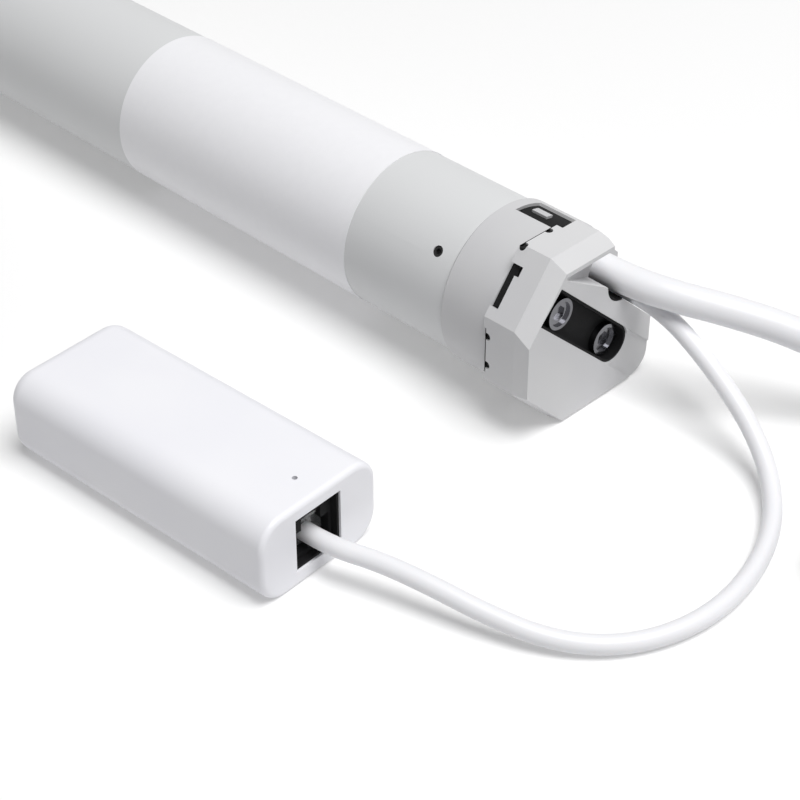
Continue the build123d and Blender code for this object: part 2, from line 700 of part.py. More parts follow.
# Crown ring with its inner gear and the window for the key
crown_back = CROWN_GAP
crown_front = CROWN_LENGTH - CROWN_GAP
crown_ring_r = CROWN_MODULE * CROWN_TEETH / 2
tooth_wall_r = crown_ring_r + DEDENDUM * CROWN_MODULE + TOOTH_RING_WALL
gear_clear = CROWN_GEAR_START - MOVING_GAP
with BuildPart() as crown_ring:
    with BuildSketch(across(crown_back)):
        Circle(CROWN_OUTER_R)
        Circle(JOURNAL_R + RUNNING_FIT, mode=Mode.SUBTRACT)
    extrude(amount=crown_front - crown_back)
    rims = crown_ring.edges().filter_by(GeomType.CIRCLE)
    chamfer([edge for edge in rims if edge.radius > CROWN_OUTER_R - 1], CROWN_CHAMFER)
    with BuildSketch(across(CROWN_GEAR_START)):
        Polygon(
            *gear_outline(
                CROWN_TEETH,
                CROWN_MODULE,
                crown_ring_r - ADDENDUM * CROWN_MODULE,
                crown_ring_r + DEDENDUM * CROWN_MODULE,
                -GEAR_BACKLASH,
                PINION_ANGLE,
            ),
            align=None,
        )
    extrude(amount=CROWN_LENGTH - CROWN_GEAR_START, mode=Mode.SUBTRACT)
    # The window goes through to the journal behind the teeth, and leaves a wall over them
    for window_start, window_end, floor_r in (
        (KEY_WINDOW_START, gear_clear, JOURNAL_R - 1),
        (gear_clear, CROWN_LENGTH, tooth_wall_r),
    ):
        with BuildSketch(across(window_start)):
            Circle(HALF_FLAT)
            Circle(floor_r, mode=Mode.SUBTRACT)
            Polygon(
                (0, 0),
                (reach * cos(window_from), reach * sin(window_from)),
                (reach * cos(window_to), reach * sin(window_to)),
                align=None,
                mode=Mode.INTERSECT,
            )
        extrude(amount=window_end - window_start, mode=Mode.SUBTRACT)
write(crown_ring.part, "crown_ring")

# Key in the crown's window, which a rib of the blind's tube pushes round
with BuildPart() as crown_drive_key:
    key_from, key_to = radians(KEY_FROM), radians(KEY_TO)
    for key_start, key_end, key_inner_r in (
        (KEY_START, gear_clear, JOURNAL_R + MOVING_GAP),
        (gear_clear, KEY_END, tooth_wall_r),
    ):
        with BuildSketch(across(key_start)):
            Circle(KEY_OUTER_R)
            Circle(key_inner_r, mode=Mode.SUBTRACT)
            Polygon(
                (0, 0),
                (reach * cos(key_from), reach * sin(key_from)),
                (reach * cos(key_to), reach * sin(key_to)),
                align=None,
                mode=Mode.INTERSECT,
            )
        extrude(amount=key_end - key_start)
write(crown_drive_key.part, "crown_drive_key")

# Counter pinion, whose shaft carries the crown's turns back to the limit unit
with BuildPart() as counter_pinion:
    with BuildSketch(across(CROWN_GEAR_START)):
        with Locations((pinion_y, pinion_z)):
            Polygon(
                *gear_outline(
                    PINION_TEETH,
                    CROWN_MODULE,
                    CROWN_MODULE * (PINION_TEETH / 2 - DEDENDUM),
                    pinion_tip_r,
                    GEAR_BACKLASH,
                    PINION_ANGLE,
                ),
                align=None,
            )
    extrude(amount=CROWN_LENGTH - CROWN_GEAR_START - 2 * MOVING_GAP)
    shaft_back = LIMIT_FROM - LIMIT_LENGTH + LIMIT_END_WALL + MOVING_GAP
    with BuildSketch(across(shaft_back)):
        with Locations((pinion_y, pinion_z)):
            Circle(PINION_SHAFT_R)
    extrude(amount=CROWN_LENGTH - 2 * MOVING_GAP - shaft_back)
write(counter_pinion.part, "counter_pinion")

# Limit unit: a housing with a cavity, bearings for the shafts and a wire passage
limit_back = LIMIT_FROM - LIMIT_LENGTH
with BuildPart() as limit_housing:
    with BuildSketch(across(limit_back)):
        Circle(LIMIT_R)
    extrude(amount=LIMIT_LENGTH)
    with BuildSketch(across(limit_back + LIMIT_END_WALL)):
        with Locations((-LIMIT_CAVITY_SHIFT, -LIMIT_CAVITY_SHIFT)):
            Circle(LIMIT_CAVITY_R)
    extrude(amount=LIMIT_LENGTH - 2 * LIMIT_END_WALL, mode=Mode.SUBTRACT)
    with BuildSketch(across(limit_back)):
        with Locations((WIRE_Y, WIRE_Z)):
            Circle(WIRE_PASSAGE_R)
    extrude(amount=LIMIT_LENGTH, mode=Mode.SUBTRACT)
    with BuildSketch(across(limit_back + LIMIT_END_WALL)):
        with Locations((pinion_y, pinion_z)):
            Circle(PINION_SHAFT_R + RUNNING_FIT)
    extrude(amount=LIMIT_LENGTH, mode=Mode.SUBTRACT)
    with BuildSketch(along_slot(LIMIT_FROM - LIMIT_END_WALL + 1 - MOVING_GAP)):
        with Locations((SCREW_ALONG, SCREW_ACROSS), (-SCREW_ALONG, SCREW_ACROSS)):
            Circle(SCREW_SHAFT_R + RUNNING_FIT)
    extrude(amount=LIMIT_END_WALL, mode=Mode.SUBTRACT)
write(limit_housing.part, "limit_housing")

# Rubber grommet round both cables at the recess floor
with BuildPart() as cable_grommet:
    with BuildSketch(across(RECESS_START - GROMMET_SEAT)):
        with Locations((MAINS_Y, MAINS_Z)):
            Circle(MAINS_R + GROMMET_WALL - FIT)
        with Locations((DATA_Y, DATA_Z)):
            Circle(DATA_R + GROMMET_WALL - FIT)
    extrude(amount=GROMMET_FACE - RECESS_START + GROMMET_SEAT)
write(cable_grommet.part, "cable_grommet")

# Wires from the cables to the control board
with BuildPart() as inner_leads:
    wire_back = BOARD_FROM - WIRE_OVER_BOARD
    with BuildSketch(across(wire_back)):
        with Locations((WIRE_Y, WIRE_Z)):
            with PolarLocations(WIRE_RING_R, 3):
                Circle(WIRE_R)
    extrude(amount=RECESS_START - GROMMET_SEAT - wire_back)
write(inner_leads.part, "inner_leads")

# Screws that hold the tube on the head
with BuildPart() as tube_screws:
    for angle in (TUBE_SCREW_ANGLE, TUBE_SCREW_ANGLE + 180):
        with BuildSketch(facet(angle, TUBE_OUTER_R - TUBE_SCREW_DEPTH)):
            with Locations((TUBE_SCREW_X, 0)):
                Circle(TUBE_SCREW_R)
        extrude(amount=TUBE_SCREW_DEPTH - TUBE_SCREW_SINK)
        with BuildSketch(facet(angle, TUBE_OUTER_R - TUBE_SCREW_SINK - TUBE_SOCKET_DEPTH)):
            with Locations((TUBE_SCREW_X, 0)):
                RegularPolygon(TUBE_SOCKET_R, 6)
        extrude(amount=TUBE_SOCKET_DEPTH, mode=Mode.SUBTRACT)
write(tube_screws.part, "tube_screws")

# Bare paper label
with BuildPart() as type_label:
    with BuildSketch(across(LABEL_FROM)):
        Circle(TUBE_OUTER_R + LABEL_THICKNESS)
        Circle(TUBE_OUTER_R, mode=Mode.SUBTRACT)
        opening = [radians(LABEL_START_ANGLE), radians((LABEL_START_ANGLE + LABEL_END_ANGLE) / 2 - 180)]
        opening.append(radians(LABEL_END_ANGLE - 360))
        Polygon(
            (0, 0),
            *[(reach * cos(angle), reach * sin(angle)) for angle in reversed(opening)],
            align=None,
            mode=Mode.SUBTRACT,
        )
    extrude(amount=LABEL_TO - LABEL_FROM)
write(type_label.part, "type_label")

# Control board of the motor, with relays and a wire terminal
board_back = BOARD_FROM - BOARD_LENGTH
board_top = BOARD_HEIGHT + BOARD_THICKNESS / 2
with BuildPart() as control_board:
    with BuildSketch(across(board_back)):
        with Locations((0, BOARD_HEIGHT)):
            Rectangle(BOARD_WIDTH, BOARD_THICKNESS)
    extrude(amount=BOARD_LENGTH)
write(control_board.part, "control_board")

with BuildPart() as board_parts:
    first_relay = board_back + BOARD_MARGIN
    for start in (first_relay, first_relay + RELAY_SIZE[0] + RELAY_GAP):
        with BuildSketch(across(start)):
            with Locations((-RELAY_ASIDE, board_top + RELAY_SIZE[2] / 2)):
                Rectangle(RELAY_SIZE[1], RELAY_SIZE[2])
        extrude(amount=RELAY_SIZE[0])
    with BuildSketch(across(first_relay)):
        with Locations((TERMINAL_ASIDE, board_top + TERMINAL_SIZE[2] / 2)):
            Rectangle(TERMINAL_SIZE[1], TERMINAL_SIZE[2])
    extrude(amount=TERMINAL_SIZE[0])
write(board_parts.part, "board_parts")

# Run capacitor and the foam rings that hold it
with BuildPart() as capacitor:
    with BuildSketch(across(CAPACITOR_FROM - CAPACITOR_LENGTH)):
        Circle(CAPACITOR_R)
    extrude(amount=CAPACITOR_LENGTH)
    fillet(capacitor.edges(), CAPACITOR_EDGE_R)
write(capacitor.part, "capacitor")

with BuildPart() as capacitor_cradles:
    for start in (
        CAPACITOR_FROM - CRADLE_INSET - CRADLE_LENGTH,
        CAPACITOR_FROM - CAPACITOR_LENGTH + CRADLE_INSET,
    ):
        with BuildSketch(across(start)):
            Circle(TUBE_BORE_R - FIT)
            Circle(CAPACITOR_R, mode=Mode.SUBTRACT)
        extrude(amount=CRADLE_LENGTH)
write(capacitor_cradles.part, "capacitor_cradles")

# Stator, windings and rotor
stator_front = BELL_FROM - BELL_LENGTH - STATOR_GAP
stator_back = stator_front - STATOR_LENGTH
front_bell_x = stator_back - STATOR_GAP - BELL_LENGTH


def bell(start, bearing_inward):
    """An end shield with a seat for its bearing."""
    with BuildPart() as shield:
        with BuildSketch(across(start)):
            Circle(TUBE_BORE_R - FIT)
            Circle(SHAFT_R + 1, mode=Mode.SUBTRACT)
        extrude(amount=BELL_LENGTH)
        seat = start if bearing_inward < 0 else start + BELL_LENGTH - BEARING_WIDTH
        with BuildSketch(across(seat)):
            Circle(BEARING_R)
        extrude(amount=BEARING_WIDTH, mode=Mode.SUBTRACT)
    return shield.part


write(bell(BELL_FROM - BELL_LENGTH, -1), "rear_bell")
write(bell(front_bell_x, 1), "front_bell")

with BuildPart() as bearings:
    for seat in (BELL_FROM - BELL_LENGTH, front_bell_x + BELL_LENGTH - BEARING_WIDTH):
        with BuildSketch(across(seat)):
            Circle(BEARING_R)
            Circle(SHAFT_R + RUNNING_FIT, mode=Mode.SUBTRACT)
        extrude(amount=BEARING_WIDTH)
write(bearings.part, "bearings")

with BuildPart() as stator_core:
    with BuildSketch(across(stator_back)):
        Circle(TUBE_BORE_R - FIT)
        Circle(STATOR_BORE_R, mode=Mode.SUBTRACT)
        with PolarLocations(COIL_SLOT_RING_R, COIL_SLOTS):
            Circle(COIL_SLOT_R + FIT, mode=Mode.SUBTRACT)
    extrude(amount=STATOR_LENGTH)
write(stator_core.part, "stator_core")

with BuildPart() as stator_windings:
    with BuildSketch(across(stator_back)):
        with PolarLocations(COIL_SLOT_RING_R, COIL_SLOTS):
            Circle(COIL_SLOT_R)
    extrude(amount=STATOR_LENGTH)
    for start in (stator_front, stator_back - WINDING_LENGTH):
        with BuildSketch(across(start)):
            Circle(WINDING_OUTER_R)
            Circle(WINDING_INNER_R, mode=Mode.SUBTRACT)
        extrude(amount=WINDING_LENGTH)
write(stator_windings.part, "stator_windings")

with BuildPart() as rotor_core:
    with BuildSketch(across(stator_back)):
        Circle(ROTOR_R)
        Circle(SHAFT_R, mode=Mode.SUBTRACT)
    extrude(amount=STATOR_LENGTH)
write(rotor_core.part, "rotor_core")

# Brake: a coil on the bell's side and a disc on the rotor's shaft
brake_front = front_bell_x - BRAKE_GAP
brake_coil_back = brake_front - BRAKE_COIL_LENGTH
brake_disc_back = brake_coil_back - BRAKE_DISC_GAP - BRAKE_DISC_THICKNESS
with BuildPart() as brake_coil:
    with BuildSketch(across(brake_coil_back)):
        Circle(TUBE_BORE_R - FIT)
        Circle(BRAKE_COIL_BORE_R, mode=Mode.SUBTRACT)
    extrude(amount=BRAKE_COIL_LENGTH)
write(brake_coil.part, "brake_coil")

with BuildPart() as brake_disc:
    with BuildSketch(across(brake_disc_back)):
        Circle(BRAKE_DISC_R)
        Circle(SHAFT_R, mode=Mode.SUBTRACT)
    extrude(amount=BRAKE_DISC_THICKNESS)
write(brake_disc.part, "brake_disc")

# Planetary gears. The teeth are as large as the ring's wall leaves room for.
ring_front = brake_disc_back - GEAR_GAP
ring_outer_r = TUBE_BORE_R - FIT
gear_module = (ring_outer_r - RING_WALL) / (RING_TEETH / 2 + DEDENDUM)
planet_ring_r = gear_module * (SUN_TEETH + PLANET_TEETH) / 2
stage_pitch = STAGE_WIDTH + 2 * STAGE_GAP + CARRIER_THICKNESS
stage_1_back = ring_front - STAGE_GAP - STAGE_WIDTH
stage_2_back = stage_1_back - stage_pitch
ring_back = stage_2_back - STAGE_GAP - CARRIER_THICKNESS

with BuildPart() as ring_gear:
    with BuildSketch(across(ring_back)):
        Circle(ring_outer_r)
        Polygon(
            *gear_outline(
                RING_TEETH,
                gear_module,
                gear_module * (RING_TEETH / 2 - ADDENDUM),
                gear_module * (RING_TEETH / 2 + DEDENDUM),
                -GEAR_BACKLASH,
            ),
            align=None,
            mode=Mode.SUBTRACT,
        )
    extrude(amount=ring_front - ring_back)
write(ring_gear.part, "ring_gear")


def sun_gear(back, front, bore_r):
    """A sun with a space towards each planet, so that it starts half a tooth round."""
    with BuildPart() as sun:
        with BuildSketch(across(back)):
            Polygon(
                *gear_outline(
                    SUN_TEETH,
                    gear_module,
                    gear_module * (SUN_TEETH / 2 - DEDENDUM),
                    gear_module * (SUN_TEETH / 2 + ADDENDUM),
                    GEAR_BACKLASH,
                    180 / SUN_TEETH,
                ),
                align=None,
            )
            Circle(bore_r, mode=Mode.SUBTRACT)
        extrude(amount=front - back)
    return sun.part


def planet_gear(back, index):
    """A planet with a tooth towards the ring, running on its carrier's pin."""
    angle = 2 * pi * index / PLANET_COUNT
    with BuildPart() as planet:
        with BuildSketch(across(back)):
            with Locations((planet_ring_r * cos(angle), planet_ring_r * sin(angle))):
                Polygon(
                    *gear_outline(
                        PLANET_TEETH,
                        gear_module,
                        gear_module * (PLANET_TEETH / 2 - DEDENDUM),
                        gear_module * (PLANET_TEETH / 2 + ADDENDUM),
                        GEAR_BACKLASH,
                    ),
                    align=None,
                )
                Circle(PIN_R + RUNNING_FIT, mode=Mode.SUBTRACT)
        extrude(amount=STAGE_WIDTH)
    return planet.part


write(sun_gear(stage_1_back, ring_front, SUN_BORE_R), "sun_gear_1")
write(sun_gear(stage_2_back, stage_1_back - STAGE_GAP - CARRIER_THICKNESS, SUN_BORE_R), "sun_gear_2")
for index, letter in enumerate("abc"):
    write(planet_gear(stage_1_back, index), f"planet_1{letter}")
    write(planet_gear(stage_2_back, index), f"planet_2{letter}")

# Rotor shaft, stepped down under the first sun
with BuildPart() as rotor_shaft:
    with BuildSketch(across(ring_front)):
        Circle(SHAFT_R)
    extrude(amount=BELL_FROM - BELL_LENGTH + BEARING_WIDTH + 1 - ring_front)
    with BuildSketch(across(stage_1_back)):
        Circle(SUN_BORE_R)
    extrude(amount=ring_front - stage_1_back)
write(rotor_shaft.part, "rotor_shaft")

# First carrier: a disc with the planet pins in front and a stub for the second sun behind
carrier_1_back = stage_1_back - STAGE_GAP - CARRIER_THICKNESS
with BuildPart() as carrier_1:
    with BuildSketch(across(carrier_1_back)):
        Circle(CARRIER_R)
    extrude(amount=CARRIER_THICKNESS)
    with BuildSketch(across(carrier_1_back + CARRIER_THICKNESS)):
        with PolarLocations(planet_ring_r, PLANET_COUNT):
            Circle(PIN_R)
    extrude(amount=STAGE_GAP + STAGE_WIDTH - MOVING_GAP)
    with BuildSketch(across(stage_2_back)):
        Circle(SUN_BORE_R)
    extrude(amount=carrier_1_back - stage_2_back)
write(carrier_1.part, "carrier_1")

# Output carrier and shaft, square behind the bush for the drive wheel
output_end = HEAD_LENGTH - MOTOR_LENGTH
wheel_back = output_end + SHAFT_STUB + CLIP_THICKNESS
wheel_front = wheel_back + WHEEL_LENGTH
with BuildPart() as output_carrier:
    with BuildSketch(across(ring_back)):
        Circle(CARRIER_R)
    extrude(amount=CARRIER_THICKNESS)
    with BuildSketch(across(ring_back + CARRIER_THICKNESS)):
        with PolarLocations(planet_ring_r, PLANET_COUNT):
            Circle(PIN_R)
    extrude(amount=STAGE_GAP + STAGE_WIDTH - MOVING_GAP)
    with BuildSketch(across(wheel_front)):
        Circle(OUTPUT_SHAFT_R)
    extrude(amount=ring_back - wheel_front)
    with BuildSketch(across(output_end)):
        Rectangle(DRIVE_FLAT, DRIVE_FLAT)
        Circle(OUTPUT_SHAFT_R, mode=Mode.INTERSECT)
    extrude(amount=wheel_front - output_end)
    with BuildSketch(across(output_end + SHAFT_STUB)):
        Circle(OUTPUT_SHAFT_R + 1)
        Circle(DRIVE_FLAT / 2 - CLIP_GROOVE_DEPTH, mode=Mode.SUBTRACT)
    extrude(amount=CLIP_THICKNESS, mode=Mode.SUBTRACT)
write(output_carrier.part, "output_carrier")

# Drive end cap and its bush
with BuildPart() as drive_end_cap:
    with BuildSketch(across(TUBE_FAR_END)):
        Circle(TUBE_BORE_R - FIT)
        Circle(BUSH_R, mode=Mode.SUBTRACT)
    extrude(amount=CAP_SPIGOT)
    with BuildSketch(across(TUBE_FAR_END - CAP_FLANGE)):
        Circle(TUBE_OUTER_R)
        Circle(BUSH_R, mode=Mode.SUBTRACT)
    extrude(amount=CAP_FLANGE)
write(drive_end_cap.part, "drive_end_cap")

with BuildPart() as output_bush:
    with BuildSketch(across(TUBE_FAR_END - CAP_FLANGE)):
        Circle(BUSH_R)
        Circle(OUTPUT_SHAFT_R + RUNNING_FIT, mode=Mode.SUBTRACT)
    extrude(amount=CAP_FLANGE + CAP_SPIGOT)
write(output_bush.part, "output_bush")

# Drive wheel that fits the blind's tube, with ribs out to the head's flats
with BuildPart() as drive_wheel:
    with BuildSketch(across(wheel_back)):
        Circle(WHEEL_RIM_R)
        Circle(WHEEL_RIM_R - WHEEL_RIM_WALL, mode=Mode.SUBTRACT)
        Circle(WHEEL_HUB_R)
        with PolarLocations((WHEEL_HUB_R + WHEEL_RIM_R) / 2 - 0.5, WHEEL_RIBS):
            Rectangle(WHEEL_RIM_R - WHEEL_HUB_R, WHEEL_SPOKE_WIDTH)
        with PolarLocations((WHEEL_RIM_R + HALF_FLAT) / 2 - 0.5, WHEEL_RIBS):
            Rectangle(HALF_FLAT - WHEEL_RIM_R + 1, WHEEL_RIB_WIDTH)
        Circle(HALF_FLAT, mode=Mode.INTERSECT)
        Rectangle(DRIVE_FLAT + 2 * FIT, DRIVE_FLAT + 2 * FIT, mode=Mode.SUBTRACT)
        Circle(OUTPUT_SHAFT_R + FIT, mode=Mode.SUBTRACT)
    extrude(amount=WHEEL_LENGTH)
write(drive_wheel.part, "drive_wheel")

with BuildPart() as wheel_clip:
    with BuildSketch(across(output_end + SHAFT_STUB)):
        Circle(CLIP_R)
        Circle(DRIVE_FLAT / 2 - CLIP_GROOVE_DEPTH, mode=Mode.SUBTRACT)
        with Locations((0, -CLIP_R)):
            Rectangle(DRIVE_FLAT - 2, 2 * CLIP_R, mode=Mode.SUBTRACT)
    extrude(amount=CLIP_THICKNESS)
write(wheel_clip.part, "wheel_clip")

# Control box shell: one rounded case, open underneath for the base plate
box_mid = BOX_HEIGHT / 2
with BuildPart() as box_shell:
    with BuildSketch(box_section(-BOX_LENGTH)):
        with Locations((0, box_mid)):
            RectangleRounded(BOX_WIDTH, BOX_HEIGHT, BOX_EDGE_R)
    extrude(amount=BOX_LENGTH)
    along_box = Vector(cos(BOX_TURN_RAD), sin(BOX_TURN_RAD), 0)
    ends = box_shell.faces().filter_by(lambda face: abs(face.normal_at().dot(along_box)) > 0.99)
    near_end = ends.sort_by(Axis.X)[-1]
    far_end = ends.sort_by(Axis.X)[0]
    fillet(far_end.edges(), BOX_FAR_ROUND)
    fillet(near_end.edges(), BOX_NEAR_ROUND)
    with BuildSketch(box_section(-BOX_LENGTH + BOX_WALL)):
        with Locations((0, box_mid)):
            RectangleRounded(BOX_WIDTH - 2 * BOX_WALL, BOX_HEIGHT - 2 * BOX_WALL, BOX_EDGE_R - BOX_WALL)
    extrude(amount=BOX_LENGTH - 2 * BOX_WALL, mode=Mode.SUBTRACT)
    with BuildSketch(box_level(0)):
        with Locations((-BOX_LENGTH / 2, 0)):
            RectangleRounded(BASE_LENGTH + 2 * BASE_GAP, BASE_WIDTH + 2 * BASE_GAP, BASE_CORNER_R)
    extrude(amount=BOX_WALL, mode=Mode.SUBTRACT)
    # Opening for the jack, and the pinhole over the button
    with BuildSketch(box_section(-BOX_WALL)):
        with Locations((JACK_Y, JACK_LOW + JACK_HEIGHT / 2)):
            Rectangle(JACK_WIDTH + 2 * JACK_CLEARANCE, JACK_HEIGHT + 2 * JACK_CLEARANCE)
    extrude(amount=BOX_WALL, mode=Mode.SUBTRACT)
    with BuildSketch(box_level(BOX_HEIGHT - BOX_WALL)):
        with Locations((-BUTTON_FROM_END, 0)):
            Circle(PINHOLE_R)
    extrude(amount=BOX_WALL, mode=Mode.SUBTRACT)
write(box_shell.part, "box_shell")

base_screw_s = [-BOX_LENGTH / 2 + sign * (BASE_LENGTH / 2 - BASE_SCREW_INSET) for sign in (-1, 1)]
with BuildPart() as box_base:
    with BuildSketch(box_level(0)):
        with Locations((-BOX_LENGTH / 2, 0)):
            RectangleRounded(BASE_LENGTH, BASE_WIDTH, BASE_CORNER_R)
    extrude(amount=BOX_WALL)
    with BuildSketch(box_level(BOX_WALL)):
        for s in base_screw_s:
            with Locations((s, 0)):
                Circle(BASE_SCREW_HEAD_R + BASE_BOSS_WALL)
    extrude(amount=MAIN_BOARD_TOP - MAIN_BOARD_THICKNESS - BOX_WALL)
    with BuildSketch(box_level(0)):
        for s in base_screw_s:
            with Locations((s, 0)):
                Circle(BASE_SCREW_R)
    extrude(amount=MAIN_BOARD_TOP, mode=Mode.SUBTRACT)
    with BuildSketch(box_level(0)):
        for s in base_screw_s:
            with Locations((s, 0)):
                Circle(BASE_SCREW_HEAD_R)
    extrude(amount=BASE_SCREW_SINK + BASE_SCREW_HEAD_HEIGHT, mode=Mode.SUBTRACT)
write(box_base.part, "box_base")

with BuildPart() as base_screws:
    with BuildSketch(box_level(BASE_SCREW_SINK)):
        for s in base_screw_s:
            with Locations((s, 0)):
                Circle(BASE_SCREW_HEAD_R - FIT)
    extrude(amount=BASE_SCREW_HEAD_HEIGHT)
    with BuildSketch(box_level(BASE_SCREW_SINK)):
        for s in base_screw_s:
            with Locations((s, 0)):
                Circle(BASE_SCREW_R)
    extrude(amount=MAIN_BOARD_TOP - 2 * BASE_SCREW_SINK)
    with BuildSketch(box_level(BASE_SCREW_SINK)):
        for s in base_screw_s:
            with Locations((s, 0)):
                RegularPolygon(BASE_SOCKET_R, 6)
    extrude(amount=BASE_SOCKET_DEPTH, mode=Mode.SUBTRACT)
write(base_screws.part, "base_screws")

# Board of the box, its radio module and the jack
jack_front = -JACK_SETBACK
jack_back = jack_front - JACK_LENGTH
# The case's rounded lower corners set how wide the board can be
inner_edge_r = BOX_EDGE_R - BOX_WALL
board_rise = MAIN_BOARD_TOP - MAIN_BOARD_THICKNESS - BOX_WALL
corner_bite = inner_edge_r - sqrt(inner_edge_r**2 - (inner_edge_r - board_rise) ** 2)
main_board_width = BOX_WIDTH - 2 * (BOX_WALL + corner_bite + BOARD_PLAY)
with BuildPart() as main_board:
    with BuildSketch(box_level(MAIN_BOARD_TOP - MAIN_BOARD_THICKNESS)):
        with Locations((jack_front - MAIN_BOARD_SETBACK - MAIN_BOARD_LENGTH / 2, 0)):
            Rectangle(MAIN_BOARD_LENGTH, main_board_width)
        for s in base_screw_s:
            with Locations((s, 0)):
                Circle(BASE_SCREW_R, mode=Mode.SUBTRACT)
    extrude(amount=MAIN_BOARD_THICKNESS)
write(main_board.part, "main_board")

with BuildPart() as radio_module:
    with BuildSketch(box_level(MAIN_BOARD_TOP)):
        with Locations((RADIO_START - RADIO_LENGTH / 2, 0)):
            Rectangle(RADIO_LENGTH, RADIO_WIDTH)
    extrude(amount=RADIO_HEIGHT)
    fillet(radio_module.edges().filter_by(Axis.Z), RADIO_CORNER_R)
write(radio_module.part, "radio_module")

plug_front = PLUG_REAR - PLUG_LENGTH
plug_top = PLUG_LOW + PLUG_HEIGHT
contact_rows = [JACK_Y + (i - (CONTACTS - 1) / 2) * CONTACT_PITCH for i in range(CONTACTS)]
with BuildPart() as modular_jack:
    with BuildSketch(box_section(jack_back)):
        with Locations((JACK_Y, JACK_LOW + JACK_HEIGHT / 2)):
            Rectangle(JACK_WIDTH, JACK_HEIGHT)
    extrude(amount=JACK_LENGTH)
    with BuildSketch(box_section(plug_front - 0.2)):
        with Locations((JACK_Y, PLUG_LOW + PLUG_HEIGHT / 2)):
            Rectangle(PLUG_WIDTH + 2 * PLUG_PLAY, PLUG_HEIGHT + 2 * PLUG_PLAY)
        with Locations((JACK_Y, plug_top + LATCH_SLOT_HEIGHT / 2)):
            Rectangle(LATCH_SLOT_WIDTH, LATCH_SLOT_HEIGHT)
    extrude(amount=JACK_LENGTH, mode=Mode.SUBTRACT)
    # Grooves under the plug for the contact springs
    with BuildSketch(box_level(PLUG_LOW - PLUG_PLAY - SPRING_HEIGHT)):
        for y in contact_rows:
            with Locations((plug_front + SPRING_LENGTH / 2, y)):
                Rectangle(SPRING_LENGTH + 2 * SPRING_GROOVE_PLAY, CONTACT_WIDTH + 2 * SPRING_GROOVE_PLAY)
    extrude(amount=SPRING_HEIGHT + PLUG_PLAY, mode=Mode.SUBTRACT)
    # Sunken front rim, wider than the plug way
    with BuildSketch(box_section(jack_front - JACK_RIM_DEPTH)):
        with Locations((JACK_Y, JACK_LOW + JACK_HEIGHT / 2)):
            Rectangle(JACK_WIDTH - 2 * JACK_RIM_WALL, JACK_HEIGHT - 2 * JACK_RIM_WALL)
    extrude(amount=JACK_RIM_DEPTH, mode=Mode.SUBTRACT)
write(modular_jack.part, "modular_jack")

with BuildPart() as jack_contacts:
    with BuildSketch(box_level(PLUG_LOW - PLUG_PLAY - SPRING_HEIGHT)):
        for y in contact_rows:
            with Locations((plug_front + SPRING_LENGTH / 2, y)):
                Rectangle(SPRING_LENGTH, CONTACT_WIDTH)
    extrude(amount=SPRING_HEIGHT)
write(jack_contacts.part, "jack_contacts")

# Small key board on the jack, and the button under the pinhole
jack_top = JACK_LOW + JACK_HEIGHT
button_low = jack_top + KEY_BOARD_THICKNESS + BUTTON_TRAVEL + RUNNING_FIT
button_high = BOX_HEIGHT - BOX_WALL - RUNNING_FIT
with BuildPart() as key_board:
    with BuildSketch(box_level(jack_top)):
        with Locations((-BUTTON_FROM_END, 0)):
            Rectangle(KEY_BOARD_LENGTH, KEY_BOARD_WIDTH)
    extrude(amount=KEY_BOARD_THICKNESS)
    with BuildSketch(box_level(jack_top + KEY_BOARD_THICKNESS)):
        with Locations((-BUTTON_FROM_END, 0)):
            Circle(BUTTON_BASE_R + BUTTON_RING_WALL)
            Circle(BUTTON_BASE_R + RUNNING_FIT, mode=Mode.SUBTRACT)
    extrude(amount=BUTTON_RING_HEIGHT)
write(key_board.part, "key_board")

with BuildPart() as reset_button:
    with BuildSketch(box_level(button_low)):
        with Locations((-BUTTON_FROM_END, 0)):
            Circle(BUTTON_BASE_R)
    extrude(amount=BUTTON_BASE_HEIGHT)
    with BuildSketch(box_level(button_low)):
        with Locations((-BUTTON_FROM_END, 0)):
            Circle(BUTTON_R)
    extrude(amount=button_high - button_low)
write(reset_button.part, "reset_button")

# Clear modular plug with its sprung latch and contacts
with BuildPart() as data_plug_body:
    with BuildSketch(box_section(plug_front)):
        with Locations((JACK_Y, PLUG_LOW + PLUG_HEIGHT / 2)):
            Rectangle(PLUG_WIDTH, PLUG_HEIGHT)
    extrude(amount=PLUG_LENGTH)
    with BuildSketch(box_level(PLUG_LOW)):
        for y in contact_rows:
            with Locations((plug_front + CONTACT_INSET + CONTACT_LENGTH / 2, y)):
                Rectangle(CONTACT_LENGTH, CONTACT_WIDTH)
    extrude(amount=CONTACT_HEIGHT, mode=Mode.SUBTRACT)
write(data_plug_body.part, "data_plug_body")

with BuildPart() as data_plug_contacts:
    with BuildSketch(box_level(PLUG_LOW)):
        for y in contact_rows:
            with Locations((plug_front + CONTACT_INSET + CONTACT_LENGTH / 2, y)):
                Rectangle(CONTACT_LENGTH, CONTACT_WIDTH)
    extrude(amount=CONTACT_HEIGHT)
write(data_plug_contacts.part, "data_plug_contacts")

